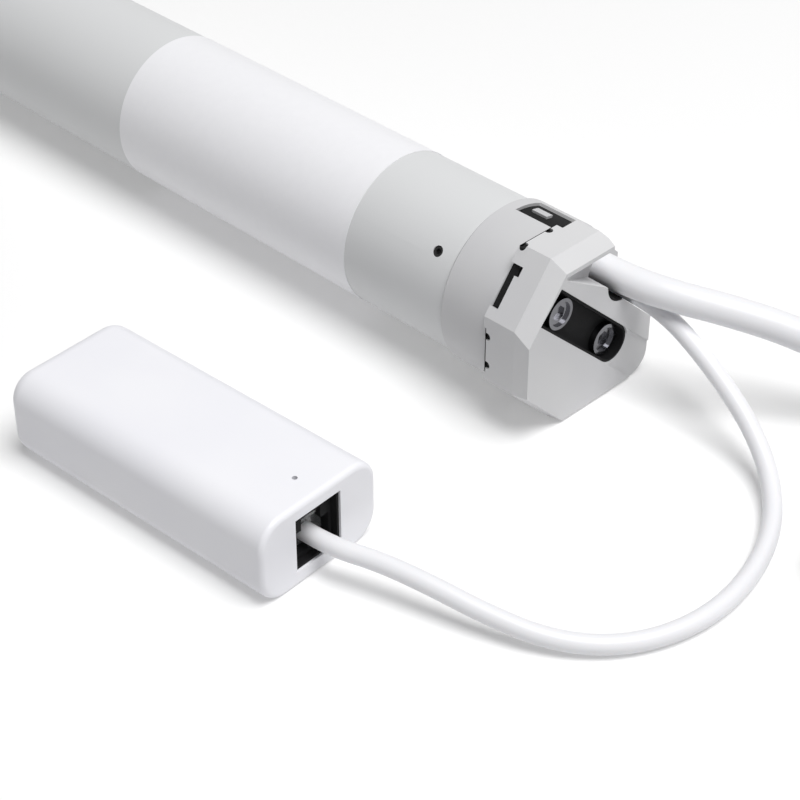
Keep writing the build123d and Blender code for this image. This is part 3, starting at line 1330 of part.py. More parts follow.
latch_hinge_s = plug_front + LATCH_HINGE_INSET
latch_tip_s = PLUG_REAR + LATCH_OVERHANG
with BuildPart() as data_plug_latch:
    low = plug_top + LATCH_RISE
    latch_side = box_place(0, JACK_Y - LATCH_WIDTH / 2, 0)
    side = Plane(origin=latch_side, x_dir=along_box, z_dir=box_section(0).x_dir)
    with BuildSketch(side):
        Polygon(
            (latch_hinge_s, -low),
            (latch_tip_s, -low - LATCH_TIP_RISE),
            (latch_tip_s, -low - LATCH_TIP_RISE - LATCH_THICKNESS),
            (latch_hinge_s + LATCH_BEND, -low - LATCH_BEND_RISE - LATCH_THICKNESS),
            (latch_hinge_s, -low - LATCH_THICKNESS),
            align=None,
        )
        with Locations((latch_hinge_s, -low - LATCH_THICKNESS / 2)):
            Circle(LATCH_THICKNESS / 2)
    extrude(amount=LATCH_WIDTH)
write(data_plug_latch.part, "data_plug_latch")

# Cables. Points are from the crown's rear edge, the motor's axis line and the surface.
mains_start = (GROMMET_FACE, MAINS_Y, AXIS_Z + MAINS_Z)
coil_entry = (126.4, 71.0, COIL_CENTRE_Z)
coil_ahead = (cos(radians(COIL_HEADING)), sin(radians(COIL_HEADING)), 0)
coil_right = (sin(radians(COIL_HEADING)), -cos(radians(COIL_HEADING)), 0)
mains_points = [
    mains_start,
    (31.5, MAINS_Y, AXIS_Z + MAINS_Z),
    (44.5, 17.1, 32.8),
    (57.5, 24.6, 30.8),
    (70.0, 33.0, 27.0),
    (82.3, 41.3, 20.7),
    (94.6, 49.5, 13.3),
    (106.9, 57.8, 7.5),
    (
        coil_entry[0] - COIL_LEAD_IN * coil_ahead[0],
        coil_entry[1] - COIL_LEAD_IN * coil_ahead[1],
        COIL_CENTRE_Z,
    ),
    coil_entry,
]
plug_end = (PLUG_REAR, JACK_Y, PLUG_LOW + PLUG_HEIGHT / 2)
data_points = [
    (GROMMET_FACE, DATA_Y, AXIS_Z + DATA_Z),
    (31.0, DATA_Y, AXIS_Z + DATA_Z),
    (43.0, 17.4, 25.6),
    (54.0, 15.6, 22.2),
    (64.5, 14.0, 17.2),
    (75.0, 11.6, 11.6),
    (85.0, 6.8, 6.4),
    (93.6, -1.4, 3.4),
    (100.6, -12.4, 2.8),
    (105.4, -26.0, 2.7),
    (107.2, -41.0, 2.7),
    (104.6, -55.6, 2.7),
    (97.4, -68.2, 2.9),
    (86.4, -77.2, 4.0),
    (72.6, -82.6, 6.2),
    (58.0, -86.4, 8.6),
    (44.6, -90.0, 9.8),
]
mains_path = [row(point) for point in mains_points]
data_path = [row(point) for point in data_points]
data_path.append(box_place(4.0, JACK_Y, plug_end[2]))
data_path.append(box_place(*plug_end))


def cord(path, radius, label):
    """A round cord along straight runs joined by tangent arcs."""
    radii = corner_radii(path)
    print(label, "arc radii", [round(value, 1) for value in radii])
    with BuildPart() as tube:
        with BuildLine() as line:
            FilletPolyline(*path, radius=radii)
        start = Vector(*path[0])
        heading = Vector(*path[1]) - start
        with BuildSketch(Plane(origin=start, z_dir=heading)):
            Circle(radius)
        sweep(path=line.line)
    length = line.wire().length
    share = tube.part.volume / (pi * radius**2 * length)
    print(label, "length", round(length, 1), "volume over section times length", round(share, 4))
    return tube.part, length


mains_cable, mains_length = cord(mains_path, MAINS_R, "mains_cable")
write(mains_cable, "mains_cable")
data_cable, data_length = cord(data_path, DATA_R, "data_cable")
write(data_cable, "data_cable")

# Coil: half turns that spiral in on the surface, climb once, and spiral out on top.
# Its left edge runs on from the lead, and the half turns swing to the right of it.
left = 0.0
right = 2 * COIL_OUTER_R
coil_nodes = [(left, 0.0)]
for turn in range(COIL_TURNS_DOWN):
    if turn % 2 == 0:
        coil_nodes.append((right, 0.0))
        right -= COIL_PITCH
    else:
        left += COIL_PITCH
        coil_nodes.append((left, 0.0))
coil_nodes.append((right, COIL_LAYER))
for turn in range(COIL_TURNS_DOWN - 1):
    if turn % 2 == 0:
        left -= COIL_PITCH
        coil_nodes.append((left, COIL_LAYER))
    else:
        right += COIL_PITCH
        coil_nodes.append((right, COIL_LAYER))
coil_start = Vector(*row(coil_entry))
coil_origin = coil_start + Vector(*coil_ahead) * 2 * MAINS_R


def coil_point(right_by, ahead_by, rise):
    """A point given from the coil's first turn, to the right of its heading, ahead and up."""
    return coil_origin + Vector(*coil_right) * right_by + Vector(*coil_ahead) * ahead_by + Vector(0, 0, rise)


with BuildPart() as mains_coil:
    with BuildLine() as coil_line:
        Line(coil_start, coil_point(0, 0, 0))
        for index, (start, end) in enumerate(zip(coil_nodes, coil_nodes[1:])):
            side = 1 if index % 2 == 0 else -1
            middle_right = (start[0] + end[0]) / 2
            middle_rise = (start[1] + end[1]) / 2
            middle_ahead = hypot(end[0] - start[0], end[1] - start[1]) / 2
            ThreePointArc(
                coil_point(start[0], 0, start[1]),
                coil_point(middle_right, side * middle_ahead, middle_rise),
                coil_point(end[0], 0, end[1]),
            )
    with BuildSketch(Plane(origin=coil_start, z_dir=coil_ahead)):
        Circle(MAINS_R)
    sweep(path=coil_line.line)
write(mains_coil.part, "mains_coil")

# The tail lies on the coil's first half turn, in the place that the last turns leave free
tail_start = coil_point(0, 0, COIL_LAYER)
tail_end = coil_point(COIL_OUTER_R, COIL_OUTER_R, COIL_LAYER)
eighth = COIL_OUTER_R * sin(radians(45))
with BuildPart() as mains_tail:
    with BuildLine() as tail_line:
        ThreePointArc(tail_start, coil_point(COIL_OUTER_R - eighth, eighth, COIL_LAYER), tail_end)
    with BuildSketch(Plane(origin=tail_start, z_dir=coil_ahead)):
        Circle(MAINS_R)
    sweep(path=tail_line.line)
write(mains_tail.part, "mains_tail")
tail_length = tail_line.wire().length
coil_wire = coil_line.wire()
coil_length = coil_wire.length
lead_length = mains_length + coil_length + tail_length
print("coil length", round(coil_length, 1), "lead in all", round(lead_length, 1))

# Least gap of the coil to itself, on points a few millimetres apart
COIL_SAMPLES = 900
samples = [coil_wire @ (i / COIL_SAMPLES) for i in range(COIL_SAMPLES + 1)]
step_length = coil_length / COIL_SAMPLES
skip = int(6 * MAINS_R / step_length)
least = min(
    (samples[i] - samples[j]).length
    for i in range(len(samples))
    for j in range(i + skip, len(samples))
)
print("coil least gap to itself", round(least - 2 * MAINS_R, 2))

# Tie round the coil's bundle
tie_y = [-(COIL_OUTER_R - COIL_PITCH / 2) - MAINS_R - TIE_GAP]
tie_y.append(tie_y[0] + (COIL_TURNS_DOWN / 2 - 1) * COIL_PITCH + 2 * MAINS_R + TIE_GAP + TIE_SLACK)
tie_low = -MAINS_R - TIE_GAP
tie_high = COIL_LAYER + MAINS_R + TIE_GAP
with BuildPart() as coil_tie:
    middle = coil_point(COIL_OUTER_R - TIE_WIDTH / 2, (tie_y[0] + tie_y[1]) / 2, (tie_low + tie_high) / 2)
    with BuildSketch(Plane(origin=middle, x_dir=coil_ahead, z_dir=coil_right)):
        tie_width, tie_height = tie_y[1] - tie_y[0], tie_high - tie_low
        RectangleRounded(tie_width + 2 * TIE_THICKNESS, tie_height + 2 * TIE_THICKNESS, TIE_CORNER_R)
        RectangleRounded(tie_width, tie_height, TIE_CORNER_R - TIE_THICKNESS, mode=Mode.SUBTRACT)
    extrude(amount=TIE_WIDTH)
write(coil_tie.part, "coil_tie")

# Three stripped cores out of the sheath's end
with BuildPart() as core_ends:
    with BuildSketch(Plane(origin=tail_end, x_dir=(0, 0, 1), z_dir=coil_right)):
        with PolarLocations(CORE_RING_R, 3):
            Circle(CORE_R)
    extrude(amount=CORE_LENGTH)
write(core_ends.part, "core_ends")
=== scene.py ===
# %% [markdown]
# # A smart blind controller
# A tubular blind motor lies on a white table. Its octagonal head points at us, and two white cables leave
# the head: a thick mains lead and a thin data cable that curls round to a small control box. The solid
# parts come from the CAD frame, so this file is about the finishes, the two cables, a few black pieces of
# painted shade, the light and the camera.

# %% Load the frame
from math import cos, pi, radians, sin

import bpy
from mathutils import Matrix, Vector


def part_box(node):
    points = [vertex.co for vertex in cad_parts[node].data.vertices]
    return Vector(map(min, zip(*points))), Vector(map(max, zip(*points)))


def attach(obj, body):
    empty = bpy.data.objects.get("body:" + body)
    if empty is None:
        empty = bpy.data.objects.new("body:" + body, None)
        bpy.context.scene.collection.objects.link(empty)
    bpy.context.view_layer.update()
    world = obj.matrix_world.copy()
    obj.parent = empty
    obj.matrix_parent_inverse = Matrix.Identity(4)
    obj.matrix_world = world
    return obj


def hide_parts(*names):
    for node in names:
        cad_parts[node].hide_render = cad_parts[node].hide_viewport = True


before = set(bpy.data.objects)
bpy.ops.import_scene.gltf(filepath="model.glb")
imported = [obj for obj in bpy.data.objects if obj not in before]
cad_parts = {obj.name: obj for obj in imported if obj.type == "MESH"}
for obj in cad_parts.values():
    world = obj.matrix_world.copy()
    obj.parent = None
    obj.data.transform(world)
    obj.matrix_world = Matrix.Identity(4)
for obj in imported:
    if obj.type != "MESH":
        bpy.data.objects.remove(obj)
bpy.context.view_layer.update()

# %% [markdown]
# ## Places
# The CAD frame is in metres with the table at z = 0. The sizes of the real thing are easier to read in
# millimetres, so one helper turns a point given from the crown's rear edge into a point of the frame.

# %% Places on the motor and the box
MM = 0.001
CROWN_EDGE = Vector((193.0, 46.7454, 0.0))
AXIS_HEIGHT = 25.0
BOX_END = Vector((29.4, -93.9, 0.0))
BOX_TURN = radians(3.33)


def place(x, y, z):
    """A point in millimetres from the crown's rear edge, the motor's axis line and the table."""
    return (Vector((x, y, z)) + CROWN_EDGE) * MM


def box_place(s, y, z):
    """A point in millimetres along the box from its end face, across it and up."""
    across = Vector((s * cos(BOX_TURN) - y * sin(BOX_TURN), s * sin(BOX_TURN) + y * cos(BOX_TURN), z))
    return (across + BOX_END + CROWN_EDGE) * MM


low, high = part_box("head_cover")
print("head cover spans", [round(v / MM, 2) for v in low], [round(v / MM, 2) for v in high])

# %% [markdown]
# ## Colours and nodes
# Colours are written as the hex values a designer would pick on a screen, and one function turns them
# into the linear light that the renderer works in. A second small function adds a shader node with its
# settings and its links. Most finishes drift between two near colours, so a third writes down the
# settings of such a blend.

# %% Colour and node helpers
def linear(code):
    """An sRGB hex colour as linear red, green and blue, with an alpha of 1."""
    parts = [int(code[i : i + 2], 16) / 255 for i in (1, 3, 5)]
    return [c / 12.92 if c <= 0.04045 else ((c + 0.055) / 1.055) ** 2.4 for c in parts] + [1.0]


def add(tree, kind, settings=None, **links):
    """Adds a node. Settings are its attributes or sockets. Links feed sockets, by name or number (i0)."""
    node = tree.nodes.new(kind)
    for key, value in (settings or {}).items():
        if isinstance(key, str) and key in node.inputs:
            node.inputs[key].default_value = value
        elif isinstance(key, int):
            node.inputs[key].default_value = value
        else:
            setattr(node, key, value)
    for socket, source in links.items():
        place_in_list = socket[1:]
        target = node.inputs[int(place_in_list) if place_in_list.isdigit() else socket]
        tree.links.new(source, target)
    return node


def two_colours(colour, shade):
    """The settings that make a mix node blend two hex colours."""
    return {"data_type": "RGBA", 6: linear(colour), 7: linear(shade)}


def blank(name):
    """A new material with its node tree, its surface shader and its place coordinates."""
    material = bpy.data.materials.new(name)
    material.use_nodes = True
    tree = material.node_tree
    tree.nodes.clear()
    output = add(tree, "ShaderNodeOutputMaterial")
    shader = add(tree, "ShaderNodeBsdfPrincipled")
    tree.links.new(shader.outputs[0], output.inputs[0])
    where = add(tree, "ShaderNodeTexCoord")
    return material, tree, shader, where.outputs["Object"]


print("linear mid grey", [round(v, 3) for v in linear("#808080")])

# %% [markdown]
# ## Moulded plastic
# Most of what shows is injection-moulded plastic. The mould is spark eroded, which leaves a fine even
# grain that scatters the highlight, and the colour drifts very slightly over a long part. So the material
# has two patterns: a grain of a few tenths of a millimetre that drives the bump and the roughness, and a
# slow one for the colour. The real grain is about 0.1 mm, too fine to show at this distance, so it is
# drawn coarser. Most of these plastics have an index near 1.5. The black slot floor and the rubber lie
# deep and catch no clean highlight, so theirs is set lower.

# %% Moulded plastic
MOULD_DRIFT = 28.0
MOULD_GLOSS_SPREAD = 0.05


def moulded(name, colour, shade, roughness, grain=0.35, depth=0.012, ior=1.5):
    """Moulded plastic: grain and depth in millimetres, shade is the darker colour it drifts to."""
    material, tree, shader, where = blank(name)
    grain_settings = {"Scale": 1 / (grain * MM), "Detail": 3.0, "Roughness": 0.6}
    fine = add(tree, "ShaderNodeTexNoise", grain_settings, Vector=where)
    slow = add(tree, "ShaderNodeTexNoise", {"Scale": 1 / (MOULD_DRIFT * MM), "Detail": 2.0}, Vector=where)
    drift = add(tree, "ShaderNodeMapRange", {"From Min": 0.35, "From Max": 0.65}, Value=slow.outputs[0])
    tint = add(tree, "ShaderNodeMix", two_colours(colour, shade), Factor=drift.outputs[0])
    tree.links.new(tint.outputs[2], shader.inputs["Base Color"])
    low_gloss, high_gloss = roughness + MOULD_GLOSS_SPREAD, roughness - MOULD_GLOSS_SPREAD
    gloss = add(
        tree,
        "ShaderNodeMapRange",
        {"From Min": 0.3, "From Max": 0.7, "To Min": high_gloss, "To Max": low_gloss},
        Value=fine.outputs[0],
    )
    tree.links.new(gloss.outputs[0], shader.inputs["Roughness"])
    bump = add(tree, "ShaderNodeBump", {"Strength": 0.5, "Distance": depth * MM}, Height=fine.outputs[0])
    tree.links.new(bump.outputs[0], shader.inputs["Normal"])
    shader.inputs["IOR"].default_value = ior
    return material


FINISH = {
    "head_abs": moulded("matt_grey_abs", "#D3D3D4", "#CFCFD1", 0.5),
    "crown_acetal": moulded("matt_grey_acetal", "#CDCDCE", "#C9C9CB", 0.46),
    "key_acetal": moulded("pale_acetal", "#C2C2C4", "#BABABC", 0.42),
    "box_abs": moulded("matt_white_abs", "#F1F1F5", "#EEEEF3", 0.42, grain=0.3, depth=0.008),
    "black_pbt": moulded("black_pbt", "#060608", "#09090B", 0.75, grain=0.25, ior=1.35),
    "black_nylon": moulded("black_glass_nylon", "#18181A", "#202022", 0.55),
    "wheel_nylon": moulded("dark_grey_nylon", "#3A3A3C", "#343437", 0.55),
    # The black rubber is the grommet's own colour, and also the colour of the pieces of painted shade in
    # the slits, the window and the mouth
    "rubber": moulded("black_rubber_and_painted_shade", "#060607", "#0A0A0B", 0.9, grain=0.5, ior=1.35),
    "gear_acetal": moulded("natural_acetal", "#E9E6DC", "#E2DFD4", 0.4),
    "foam": moulded("grey_foam", "#4A4A4C", "#3C3C3E", 0.95, grain=1.2, depth=0.2),
    "button_abs": moulded("dark_button_abs", "#2A2A2E", "#242428", 0.4),
}
print("moulded finishes", len(FINISH))

# %% [markdown]
# ## Cable jacket
# The jacket is plasticised PVC, extruded hot through a die. It is softer and glossier than the housings,
# and light enters it a little, so it has a small subsurface weight. The skin ripples very slightly every
# millimetre or two.

# %% Cable jacket
JACKET_RIPPLE, JACKET_DRIFT = 1.6, 20.0


def jacket(name, colour, shade, roughness=0.38):
    """Extruded PVC with a very shallow ripple in its skin."""
    material, tree, shader, where = blank(name)
    ripples = {"Scale": 1 / (JACKET_RIPPLE * MM), "Detail": 3.0}
    ripple = add(tree, "ShaderNodeTexNoise", ripples, Vector=where)
    slow = add(tree, "ShaderNodeTexNoise", {"Scale": 1 / (JACKET_DRIFT * MM), "Detail": 1.0}, Vector=where)
    tint = add(tree, "ShaderNodeMix", two_colours(colour, shade), Factor=slow.outputs[0])
    tree.links.new(tint.outputs[2], shader.inputs["Base Color"])
    bump = add(tree, "ShaderNodeBump", {"Strength": 0.25, "Distance": 0.03 * MM}, Height=ripple.outputs[0])
    tree.links.new(bump.outputs[0], shader.inputs["Normal"])
    shader.inputs["Roughness"].default_value = roughness
    shader.inputs["IOR"].default_value = 1.53
    shader.inputs["Subsurface Weight"].default_value = 0.12
    shader.inputs["Subsurface Radius"].default_value = (0.6 * MM, 0.5 * MM, 0.45 * MM)
    shader.inputs["Subsurface Scale"].default_value = 1.0
    return material


FINISH["white_pvc"] = jacket("white_pvc_jacket", "#EFEFF2", "#ECECEF")
FINISH["brown_pvc"] = jacket("brown_core_pvc", "#6B3E1E", "#5E3418", 0.45)
print("jackets added")

# %% [markdown]
# ## Painted and plain metal
# The tube is steel with a baked satin grey paint, so it has paint's faint orange peel rather than a
# brushed grain. The small parts inside are plain metal: ground, turned or laminated. Turning leaves rings
# round the axis, which here is the X axis, so their pattern is bands along X.

# %% Painted steel
PAINT_DRIFT = 45.0


def painted(name, colour, shade, roughness=0.42, peel=1.8):
    """Baked paint: a very shallow orange peel a couple of millimetres across."""
    material, tree, shader, where = blank(name)
    ripple = add(tree, "ShaderNodeTexNoise", {"Scale": 1 / (peel * MM), "Detail": 2.0}, Vector=where)
    slow = add(tree, "ShaderNodeTexNoise", {"Scale": 1 / (PAINT_DRIFT * MM), "Detail": 2.0}, Vector=where)
    tint = add(tree, "ShaderNodeMix", two_colours(colour, shade), Factor=slow.outputs[0])
    tree.links.new(tint.outputs[2], shader.inputs["Base Color"])
    bump = add(tree, "ShaderNodeBump", {"Strength": 0.3, "Distance": 0.02 * MM}, Height=ripple.outputs[0])
    tree.links.new(bump.outputs[0], shader.inputs["Normal"])
    shader.inputs["Roughness"].default_value = roughness
    shader.inputs["IOR"].default_value = 1.5
    return material


FINISH["tube_paint"] = painted("satin_grey_paint", "#D9DADB", "#D5D6D7")
FINISH["black_oxide"] = painted("blackened_steel", "#060606", "#0A0A0A", 0.85, peel=0.6)
FINISH["solder_resist"] = painted("green_solder_resist", "#1F5A35", "#1A4E2E", 0.3, peel=0.8)
print("painted finishes added")

# %% Plain metal
# At a scale of 1 a wave texture repeats about every 0.314 m
WAVE_REPEAT = 0.314
METAL_GLOSS_SPREAD, SMOOTHEST = 0.08, 0.04


def metal(name, colour, roughness, band=0.0, grain=0.5):
    """Bare metal. Band is the spacing in millimetres of turned or laminated rings along X, none at 0."""
    material, tree, shader, where = blank(name)
    if band:
        rings = {"bands_direction": "X", "Scale": WAVE_REPEAT / (band * MM)}
        height = add(tree, "ShaderNodeTexWave", rings, Vector=where).outputs[1]
    else:
        specks = {"Scale": 1 / (grain * MM), "Detail": 4.0}
        height = add(tree, "ShaderNodeTexNoise", specks, Vector=where).outputs[0]
    smooth, rough = max(SMOOTHEST, roughness - METAL_GLOSS_SPREAD), roughness + METAL_GLOSS_SPREAD
    gloss = add(tree, "ShaderNodeMapRange", {"To Min": smooth, "To Max": rough}, Value=height)
    tree.links.new(gloss.outputs[0], shader.inputs["Roughness"])
    bump = add(tree, "ShaderNodeBump", {"Strength": 0.25, "Distance": 0.02 * MM}, Height=height)
    tree.links.new(bump.outputs[0], shader.inputs["Normal"])
    shader.inputs["Base Color"].default_value = linear(colour)
    shader.inputs["Metallic"].default_value = 1.0
    return material


FINISH["bright_steel"] = metal("nickel_plated_steel", "#D6D6D8", 0.16, grain=0.8)
FINISH["screw_zinc"] = metal("dark_zinc_plated_steel", "#828286", 0.16, grain=0.9)
FINISH["cast_alloy"] = metal("die_cast_alloy", "#B4B5B8", 0.5, grain=1.0)
FINISH["ground_steel"] = metal("ground_bearing_steel", "#BFC0C3", 0.22)
FINISH["laminated_steel"] = metal("laminated_core_steel", "#77787C", 0.42, band=0.5)
FINISH["sintered_steel"] = metal("sintered_steel", "#96979B", 0.45, grain=0.4)
FINISH["turned_steel"] = metal("turned_steel", "#AEB0B4", 0.28, band=0.3)
FINISH["can_aluminium"] = metal("drawn_aluminium", "#C9CACD", 0.34, band=0.4)
FINISH["magnet_copper"] = metal("enamelled_copper", "#B4653A", 0.3, band=0.6)
FINISH["bronze"] = metal("sintered_bronze", "#B08A4E", 0.42)
FINISH["gold"] = metal("gold_plated_contact", "#E2C072", 0.2)
FINISH["tin_shield"] = metal("tinned_shield", "#C6C7C9", 0.3)
print("metals added, finishes so far", len(FINISH))

# %% [markdown]
# ## Label and clear plastic
# The label is a smooth coated paper that wraps the tube. Coating hides the fibres, so what shows is a
# faint mottle and a low gloss. The plug is clear polycarbonate: refraction does the work, with a low
# roughness and the plastic's index.

# %% Label paper
MOTTLE = 2.5
label, tree, shader, where = blank("coated_label_paper")
mottle_settings = {"Scale": 1 / (MOTTLE * MM), "Detail": 4.0, "Roughness": 0.65}
mottle = add(tree, "ShaderNodeTexNoise", mottle_settings, Vector=where)
tint = add(tree, "ShaderNodeMix", two_colours("#F3F3F6", "#EEEEF1"), Factor=mottle.outputs[0])
tree.links.new(tint.outputs[2], shader.inputs["Base Color"])
bump = add(tree, "ShaderNodeBump", {"Strength": 0.2, "Distance": 0.01 * MM}, Height=mottle.outputs[0])
tree.links.new(bump.outputs[0], shader.inputs["Normal"])
shader.inputs["Roughness"].default_value = 0.36
FINISH["label_paper"] = label
print("label paper added")

# %% Clear polycarbonate
FLOW_LINES = 1.5
clear, tree, shader, where = blank("clear_polycarbonate")
flow = add(tree, "ShaderNodeTexNoise", {"Scale": 1 / (FLOW_LINES * MM), "Detail": 2.0}, Vector=where)
bump = add(tree, "ShaderNodeBump", {"Strength": 0.3, "Distance": 0.05 * MM}, Height=flow.outputs[0])
tree.links.new(bump.outputs[0], shader.inputs["Normal"])
shader.inputs["Base Color"].default_value = linear("#F2F5F6")
shader.inputs["Roughness"].default_value = 0.08
shader.inputs["IOR"].default_value = 1.585
shader.inputs["Transmission Weight"].default_value = 0.9
FINISH["clear_pc"] = clear
print("clear plastic added")

# %% [markdown]
# ## Woven strap
# The coil is held by a hook-and-loop strap. Its back is a woven band, so two sets of waves cross to make
# the threads.

# %% Woven strap
THREAD_SPACING = 0.8
THREAD_SCALE = WAVE_REPEAT / (THREAD_SPACING * MM)
strap, tree, shader, where = blank("woven_black_strap")
weft, warp = (
    add(tree, "ShaderNodeTexWave", {"bands_direction": way, "Scale": THREAD_SCALE}, Vector=where)
    for way in "XY"
)
threads = add(tree, "ShaderNodeMath", {"operation": "MULTIPLY"}, i0=weft.outputs[1], i1=warp.outputs[1])
tint = add(tree, "ShaderNodeMix", two_colours("#161618", "#2C2C30"), Factor=threads.outputs[0])
tree.links.new(tint.outputs[2], shader.inputs["Base Color"])
bump = add(tree, "ShaderNodeBump", {"Strength": 0.6, "Distance": 0.15 * MM}, Height=threads.outputs[0])
tree.links.new(bump.outputs[0], shader.inputs["Normal"])
shader.inputs["Roughness"].default_value = 0.85
FINISH["strap"] = strap
print("strap added")

# %% [markdown]
# ## Which part has which finish
# Every CAD part gets a finish by name, inside parts too, so that the motor looks right if it is taken
# apart.

# %% Finish every CAD part
PARTS = {
    "tube_paint": "motor_tube",
    "head_abs": "head_body head_cover",
    "crown_acetal": "crown_ring",
    "key_acetal": "crown_drive_key",
    "black_pbt": "slot_liner modular_jack limit_housing",
    "black_nylon": "drive_end_cap board_parts",
    "wheel_nylon": "drive_wheel",
    "rubber": "cable_grommet",
    "box_abs": "box_shell box_base",
    "gear_acetal": "counter_pinion planet_1a planet_1b planet_1c planet_2a planet_2b planet_2c",
    "foam": "capacitor_cradles",
    "button_abs": "reset_button",
    "black_oxide": "tube_screws",
    "solder_resist": "control_board main_board key_board",
    "bright_steel": "base_screws",
    "screw_zinc": "limit_screw_up limit_screw_down",
    "cast_alloy": "rear_bell front_bell",
    "ground_steel": "bearings",
    "laminated_steel": "stator_core rotor_core brake_disc",
    "sintered_steel": "ring_gear sun_gear_1 sun_gear_2 carrier_1",
    "turned_steel": "rotor_shaft output_carrier wheel_clip",
    "can_aluminium": "capacitor",
    "magnet_copper": "stator_windings brake_coil",
    "bronze": "output_bush",
    "gold": "jack_contacts data_plug_contacts",
    "tin_shield": "radio_module",
    "label_paper": "type_label",
    "clear_pc": "data_plug_body data_plug_latch",
    "brown_pvc": "inner_leads core_ends",
    "white_pvc": "data_cable mains_cable mains_coil mains_tail",
    "strap": "coil_tie",
}
finished = set()
for finish, names in PARTS.items():
    for name in names.split():
        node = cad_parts[name]
        for slot in node.material_slots:
            slot.material = FINISH[finish]
        if not node.material_slots:
            node.data.materials.append(FINISH[finish])
        finished.add(name)
print("finished", len(finished), "left", sorted(set(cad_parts) - finished))

# %% [markdown]
# ## Cables
# A cable keeps its length and bends under its own weight, so each is one smooth curve with the route's
# points as control points, and the curve's round bevel is the jacket. The points are the ones the route
# was designed with: out of the head, down, and along the table. The mains lead goes on into its put-away
# coil, whose turns are half circles that spiral in on the table, climb once, and spiral out again on top.

# %% Cable routes
MAINS_R, DATA_R = 4.25, 2.5
COIL_OUTER_R, COIL_PITCH, COIL_LAYER, COIL_Z = 61.5, 9.0, 9.0, 5.35
HALF_TURNS_DOWN = 6
COIL_ENTRY = (126.4, 71.0, COIL_Z)
COIL_HEADING = radians(34.0)
LEAD_IN = 11.0
data_route = [
    (20.0, 18.4, 26.5),
    (31.0, 18.4, 26.5),
    (43.0, 17.4, 25.6),
    (54.0, 15.6, 22.2),
    (64.5, 14.0, 17.2),
    (75.0, 11.6, 11.6),
    (85.0, 6.8, 6.4),
    (93.6, -1.4, 3.4),
    (100.6, -12.4, 2.8),
    (105.4, -26.0, 2.7),
    (107.2, -41.0, 2.7),
    (104.6, -55.6, 2.7),
    (97.4, -68.2, 2.9),
    (86.4, -77.2, 4.0),
    (72.6, -82.6, 6.2),
    (58.0, -86.4, 8.6),
    (44.6, -90.0, 9.8),
]
mains_route = [
    (20.0, 13.6, 33.3),
    (31.5, 13.6, 33.3),
    (44.5, 17.1, 32.8),
    (57.5, 24.6, 30.8),
    (70.0, 33.0, 27.0),
    (82.3, 41.3, 20.7),
    (94.6, 49.5, 13.3),
    (106.9, 57.8, 7.5),
    (COIL_ENTRY[0] - LEAD_IN * cos(COIL_HEADING), COIL_ENTRY[1] - LEAD_IN * sin(COIL_HEADING), COIL_Z),
    COIL_ENTRY,
]
PLUG_MIDDLE = (-5.0, -0.5, 9.8)
JUST_OUTSIDE = 4.0
data_points = [place(*point) for point in data_route]
data_points += [box_place(JUST_OUTSIDE, PLUG_MIDDLE[1], PLUG_MIDDLE[2]), box_place(*PLUG_MIDDLE)]
print("data cable points", len(data_points))

# %% The coil's turns
STEPS = 8
# A curve of this kind runs a little inside its points, so the points stand out by that much
STAND_OUT = 1 / (0.75 + 0.25 * cos(pi / STEPS))


def coil_place(right_by, ahead_by, rise):
    """A point in millimetres from the coil's first turn, to the right of its heading, ahead and up."""
    ahead, aside = cos(COIL_HEADING), sin(COIL_HEADING)
    ahead_by += 2 * MAINS_R
    x = COIL_ENTRY[0] + right_by * aside + ahead_by * ahead
    y = COIL_ENTRY[1] - right_by * ahead + ahead_by * aside
    return (x, y, COIL_Z + rise)


ends = [(0.0, 0.0)]
left, right = 0.0, 2 * COIL_OUTER_R
for turn in range(HALF_TURNS_DOWN):
    if turn % 2 == 0:
        ends.append((right, 0.0))
        right -= COIL_PITCH
    else:
        left += COIL_PITCH
        ends.append((left, 0.0))
ends.append((right, COIL_LAYER))
for turn in range(HALF_TURNS_DOWN - 1):
    if turn % 2 == 0:
        left -= COIL_PITCH
        ends.append((left, COIL_LAYER))
    else:
        right += COIL_PITCH
        ends.append((right, COIL_LAYER))
coil_route = []
for index, (start, end) in enumerate(zip(ends, ends[1:])):
    side = 1 if index % 2 == 0 else -1
    centre = (start[0] + end[0]) / 2
    radius = (end[0] - start[0]) / 2 * STAND_OUT
    for step in range(1 if index == 0 else 0, STEPS):
        swing = pi * step / STEPS
        rise = start[1] + (end[1] - start[1]) * (1 - cos(swing)) / 2
        coil_route.append(coil_place(centre - radius * cos(swing), side * abs(radius) * sin(swing), rise))
print("coil points", len(coil_route), "half turns", len(ends) - 1)

# %% The lead's tail
# The last stretch lies on the first half turn, where the upper turns leave it a place
TAIL_END_RUN, TAIL_END_BOW = 8.0, 0.2
tail_route = []
for step in range(STEPS // 2):
    swing = pi * step / STEPS
    radius = COIL_OUTER_R * STAND_OUT
    tail_route.append(coil_place(COIL_OUTER_R - radius * cos(swing), radius * sin(swing), COIL_LAYER))
tail_route.append(coil_place(COIL_OUTER_R - TAIL_END_RUN, COIL_OUTER_R + TAIL_END_BOW, COIL_LAYER))
tail_route.append(coil_place(COIL_OUTER_R, COIL_OUTER_R, COIL_LAYER))
mains_points = [place(*point) for point in mains_route + [coil_place(0, 0, 0)] + coil_route + tail_route]
print("mains lead points", len(mains_points))


# %% The two cables
def tube_along(name, points, radius, finish):
    """A smooth cable: a NURBS curve through the air near its points, with a round bevel."""
    curve = bpy.data.curves.new(name, "CURVE")
    curve.dimensions = "3D"
    curve.bevel_depth = radius * MM
    curve.bevel_resolution = 8
    curve.resolution_u = 8
    curve.use_fill_caps = True
    spline = curve.splines.new("NURBS")
    spline.points.add(len(points) - 1)
    for target, point in zip(spline.points, points):
        target.co = (*point, 1.0)
    spline.order_u = 3
    spline.use_endpoint_u = True
    curve.materials.append(finish)
    piece = bpy.data.objects.new(name, curve)
    bpy.context.scene.collection.objects.link(piece)
    return piece


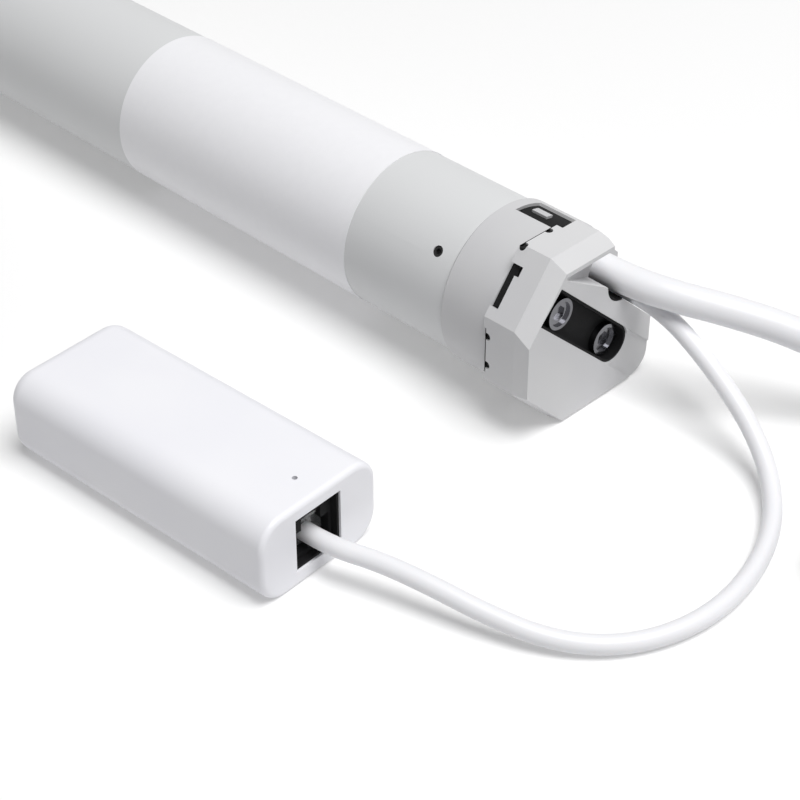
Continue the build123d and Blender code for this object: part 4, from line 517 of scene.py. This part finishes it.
data_lead = tube_along("data_lead", data_points, DATA_R, FINISH["white_pvc"])
mains_lead = tube_along("mains_lead", mains_points, MAINS_R, FINISH["white_pvc"])
stands_for = ((data_lead, ("data_cable",)), (mains_lead, ("mains_cable", "mains_coil", "mains_tail")))
for piece, nodes in stands_for:
    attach(piece, "motor_and_box")
    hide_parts(*nodes)
print("cables made")

# %% [markdown]
# ## Painted shade in the slits
# The head's seam slits and the crown's window look black. The black is painted shade: a black piece lies
# just under their edges, where there is only shade. Each piece is a low prism: an outline on one of the
# head's flats, or a piece of a ring, pushed down by its depth. They are made from their outlines alone, so
# one helper turns outlines into closed solids, and two more put the outlines in place.

# %% Helpers for the pieces of painted shade
def solid_piece(name, prisms, finish, body):
    """One mesh of closed prisms, each given by its upper and its lower outline in millimetres."""
    points, faces = [], []
    for upper, lower in prisms:
        first, count = len(points), len(upper)
        points += upper + lower
        faces.append([first + i for i in range(count)])
        faces.append([first + count + i for i in reversed(range(count))])
        for i in range(count):
            j = (i + 1) % count
            faces.append([first + i, first + count + i, first + count + j, first + j])
    mesh = bpy.data.meshes.new(name)
    mesh.from_pydata([place(*point) for point in points], [], faces)
    mesh.materials.append(finish)
    piece = bpy.data.objects.new(name, mesh)
    bpy.context.scene.collection.objects.link(piece)
    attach(piece, body)
    return piece


def on_flat(angle, outline, distance):
    """Points (along the axis, round the flat) put on a flat that faces out at an angle."""
    c, s = cos(radians(angle)), sin(radians(angle))
    return [(x, distance * c + y * s, AXIS_HEIGHT + distance * s - y * c) for x, y in outline]


def on_ring(start, end, radius, first, last, steps=6):
    """Points of a ring's piece between two places on the axis and two angles."""
    angles = [radians(first + (last - first) * i / steps) for i in range(steps + 1)]
    rims = [(start, angle) for angle in angles] + [(end, angle) for angle in reversed(angles)]
    return [(x, radius * cos(angle), AXIS_HEIGHT + radius * sin(angle)) for x, angle in rims]


print("shade piece helpers ready")

# %% Painted shade in the head's slits
SLIT_START = 17.25
SHADE_PIECE_BOTTOM = 2.1
BULGE_R, BULGE_MIDDLE, BULGE_POINTS = 1.05, 1.1, 12
bulge = [
    (BULGE_MIDDLE + BULGE_R * cos(2 * pi * i / BULGE_POINTS), BULGE_R * sin(2 * pi * i / BULGE_POINTS))
    for i in range(BULGE_POINTS)
]
# Each slit: the angle of its flat, the flat's distance from the axis, the slit's width, its two ends, how
# far its black piece of painted shade lies below the flat, and the middles of its round bulges
SLITS = (
    (90, 25.0, 0.75, -12.6, 0.2, 0.5, (-12.2, -2.9)),
    (180, 25.0, 0.75, -7.9, 5.5, 0.5, (-5.6, 3.2)),
    (141.6, 25.17, 2.6, -5.3, 6.7, 1.2, ()),
)
# The black pieces under the slits are painted shade: they stand in for the shade inside the slits
slit_shade_prisms = []
for angle, flat, width, first, last, sink, bulges in SLITS:
    slit_end = SLIT_START + width
    outlines = [[(SLIT_START, first), (slit_end, first), (slit_end, last), (SLIT_START, last)]]
    outlines += [[(SLIT_START + x, bulge_at + y) for x, y in bulge] for bulge_at in bulges]
    for outline in outlines:
        slit_shade_prisms.append((on_flat(angle, outline, flat - sink), on_flat(angle, outline, flat - SHADE_PIECE_BOTTOM)))
slit_painted_shade = solid_piece("slit_painted_shade", slit_shade_prisms, FINISH["rubber"], "motor_and_box")
print("slit shade prisms", len(slit_shade_prisms))

# %% Painted shade round the key in the crown's window
WINDOW_TOP, WINDOW_LOW = 22.7, 21.7
WINDOW_START, WINDOW_END = 4.1, 16.9
BESIDE_KEY = (73.6, 80.4)
# Each strip: where it starts and ends along the axis, and its two angles
STRIPS = (
    (WINDOW_START, WINDOW_END, 64.4, 73.7),
    (WINDOW_START, WINDOW_END, 80.3, 88.7),
    (WINDOW_START, 6.3, *BESIDE_KEY),
    (11.7, WINDOW_END, *BESIDE_KEY),
)
# The black strips under the window's edges are painted shade: they stand in for the shade round the key
window_shade_prisms = [
    (on_ring(start, end, WINDOW_TOP, first, last), on_ring(start, end, WINDOW_LOW, first, last))
    for start, end, first, last in STRIPS
]
window_painted_shade = solid_piece("window_painted_shade", window_shade_prisms, FINISH["rubber"], "crown")
print("window shade prisms", len(window_shade_prisms))

# %% Painted shade in the cable's mouth
# A thin black piece on the lower lip of the mouth under the mains lead is painted shade: it stands in
# for the shadowed gap between the lead and the mouth, which shows as a black crescent
MOUTH_MIDDLE = (12.0, 10.0)
LIP_ANGLE, LIP_STEPS, SHADE_PIECE_THICK = 227.3, 4, 0.4
# The shade piece's rear and front end: its place along the axis, its radius and how far it spreads either
# way
SHADE_PIECE_ENDS = ((20.1, 5.45, 24), (31.8, 6.52, 41))
rings = []
for x, radius, spread in SHADE_PIECE_ENDS:
    angles = [radians(LIP_ANGLE + spread * (i / LIP_STEPS - 1)) for i in range(2 * LIP_STEPS + 1)]
    for reach in (radius, radius - SHADE_PIECE_THICK):
        rings.append([
            (x, MOUTH_MIDDLE[0] + reach * cos(angle), AXIS_HEIGHT + MOUTH_MIDDLE[1] + reach * sin(angle))
            for angle in angles
        ])
rear = rings[0] + rings[1][::-1]
front = rings[2] + rings[3][::-1]
mouth_painted_shade = solid_piece("mouth_painted_shade", [(front, rear)], FINISH["rubber"], "motor_and_box")
print("mouth shade points", len(rear) + len(front))

# %% [markdown]
# ## Table and light
# The picture has a white table that melts into a white background, with tight soft shadows under the
# parts. The light comes mostly from above, a little from the head's side. One large round lamp hangs
# there, and a weak even sky fills the shadows. The table is a light table that glows a little by itself.
# That keeps the shadows pale. It throws back less light than it shows the camera, so the sides that face
# it keep their tone.

# %% Table
GLOW_SHARE = 0.22
LIT_BY, SEEN_AS = (0.8, 0.8, 0.8, 1), (1, 1, 1, 1)


def seen_directly(tree):
    """1 for what the camera sees, also in a reflection or through clear plastic, and 0 for lighting."""
    ray = add(tree, "ShaderNodeLightPath").outputs
    most = {"operation": "MAXIMUM"}
    mirrored = add(tree, "ShaderNodeMath", most, i0=ray["Is Camera Ray"], i1=ray["Is Glossy Ray"])
    seen = add(tree, "ShaderNodeMath", most, i0=mirrored.outputs[0], i1=ray["Is Transmission Ray"])
    return seen.outputs[0]


def floor_material():
    """A white diffuse table that glows a little, and throws back less light than it shows."""
    material = bpy.data.materials.new("white_table")
    material.use_nodes = True
    tree = material.node_tree
    tree.nodes.clear()
    output = add(tree, "ShaderNodeOutputMaterial")
    both_colours = {"data_type": "RGBA", 6: LIT_BY, 7: SEEN_AS}
    colour = add(tree, "ShaderNodeMix", both_colours, Factor=seen_directly(tree))
    shader = add(tree, "ShaderNodeBsdfDiffuse")
    tree.links.new(colour.outputs[2], shader.inputs["Color"])
    glow = add(tree, "ShaderNodeEmission", {"Color": (1, 1, 1, 1), "Strength": 1.0})
    both = add(tree, "ShaderNodeMixShader", {0: GLOW_SHARE}, i1=shader.outputs[0], i2=glow.outputs[0])
    tree.links.new(both.outputs[0], output.inputs[0])
    return material


FLOOR_SIZE = 12.0
floor_mesh = bpy.data.meshes.new("table_top")
half = FLOOR_SIZE / 2
corners = [(-half, -half, 0), (half, -half, 0), (half, half, 0), (-half, half, 0)]
floor_mesh.from_pydata(corners, [], [(0, 1, 2, 3)])
floor_mesh.materials.append(floor_material())
floor = bpy.data.objects.new("table_top", floor_mesh)
bpy.context.scene.collection.objects.link(floor)
print("table", FLOOR_SIZE, "m across")

# %% Sky
SKY_LEVEL = 0.12
world = bpy.data.worlds.new("even_sky")
world.use_nodes = True
bpy.context.scene.world = world
tree = world.node_tree
tree.nodes.clear()
output = add(tree, "ShaderNodeOutputWorld")
level = add(tree, "ShaderNodeMapRange", {"To Min": SKY_LEVEL, "To Max": 1.0}, Value=seen_directly(tree))
sky = add(tree, "ShaderNodeBackground", {"Color": (1, 1, 1, 1)})
tree.links.new(level.outputs[0], sky.inputs["Strength"])
tree.links.new(sky.outputs[0], output.inputs[0])
print("sky level", SKY_LEVEL)

# %% Key lamp
KEY_DIRECTION = Vector((0.32, 0.02, 0.94)).normalized()
KEY_DISTANCE = 1.6
KEY_SIZE = 1.2
KEY_POWER = 28.0
BETWEEN_MOTOR_AND_BOX = (0, -40, 20)
lamp = bpy.data.lights.new("key_lamp", "AREA")
lamp.shape = "DISK"
lamp.size = KEY_SIZE
lamp.energy = KEY_POWER
key = bpy.data.objects.new("key_lamp", lamp)
key.location = place(*BETWEEN_MOTOR_AND_BOX) + KEY_DIRECTION * KEY_DISTANCE
key.rotation_euler = KEY_DIRECTION.to_track_quat("Z", "Y").to_euler()
bpy.context.scene.collection.objects.link(key)
print("lamp at", [round(v, 2) for v in key.location])

# %% [markdown]
# ## Camera
# The camera stands to the right of the motor's head and looks down at about 37 degrees. Its place and
# lens come from matching the straight edges of the tube and the box in the picture.

# %% Camera
CAMERA_PLACE = (313.826, -352.688, 339.575)
LOOK_DOWN = 36.94
LOOK_ROUND = 134.9
LENS, SENSOR = 96.04, 36.0
camera_data = bpy.data.cameras.new("camera")
camera_data.lens = LENS
camera_data.sensor_width = SENSOR
camera = bpy.data.objects.new("camera", camera_data)
camera.location = place(*CAMERA_PLACE)
camera.rotation_euler = (radians(90 - LOOK_DOWN), 0, radians(LOOK_ROUND - 90))
bpy.context.scene.collection.objects.link(camera)
bpy.context.scene.camera = camera
bpy.context.scene.view_settings.view_transform = "Standard"
print("camera looks down", LOOK_DOWN, "degrees")

# %% [markdown] End of the scene

print("scene ready")
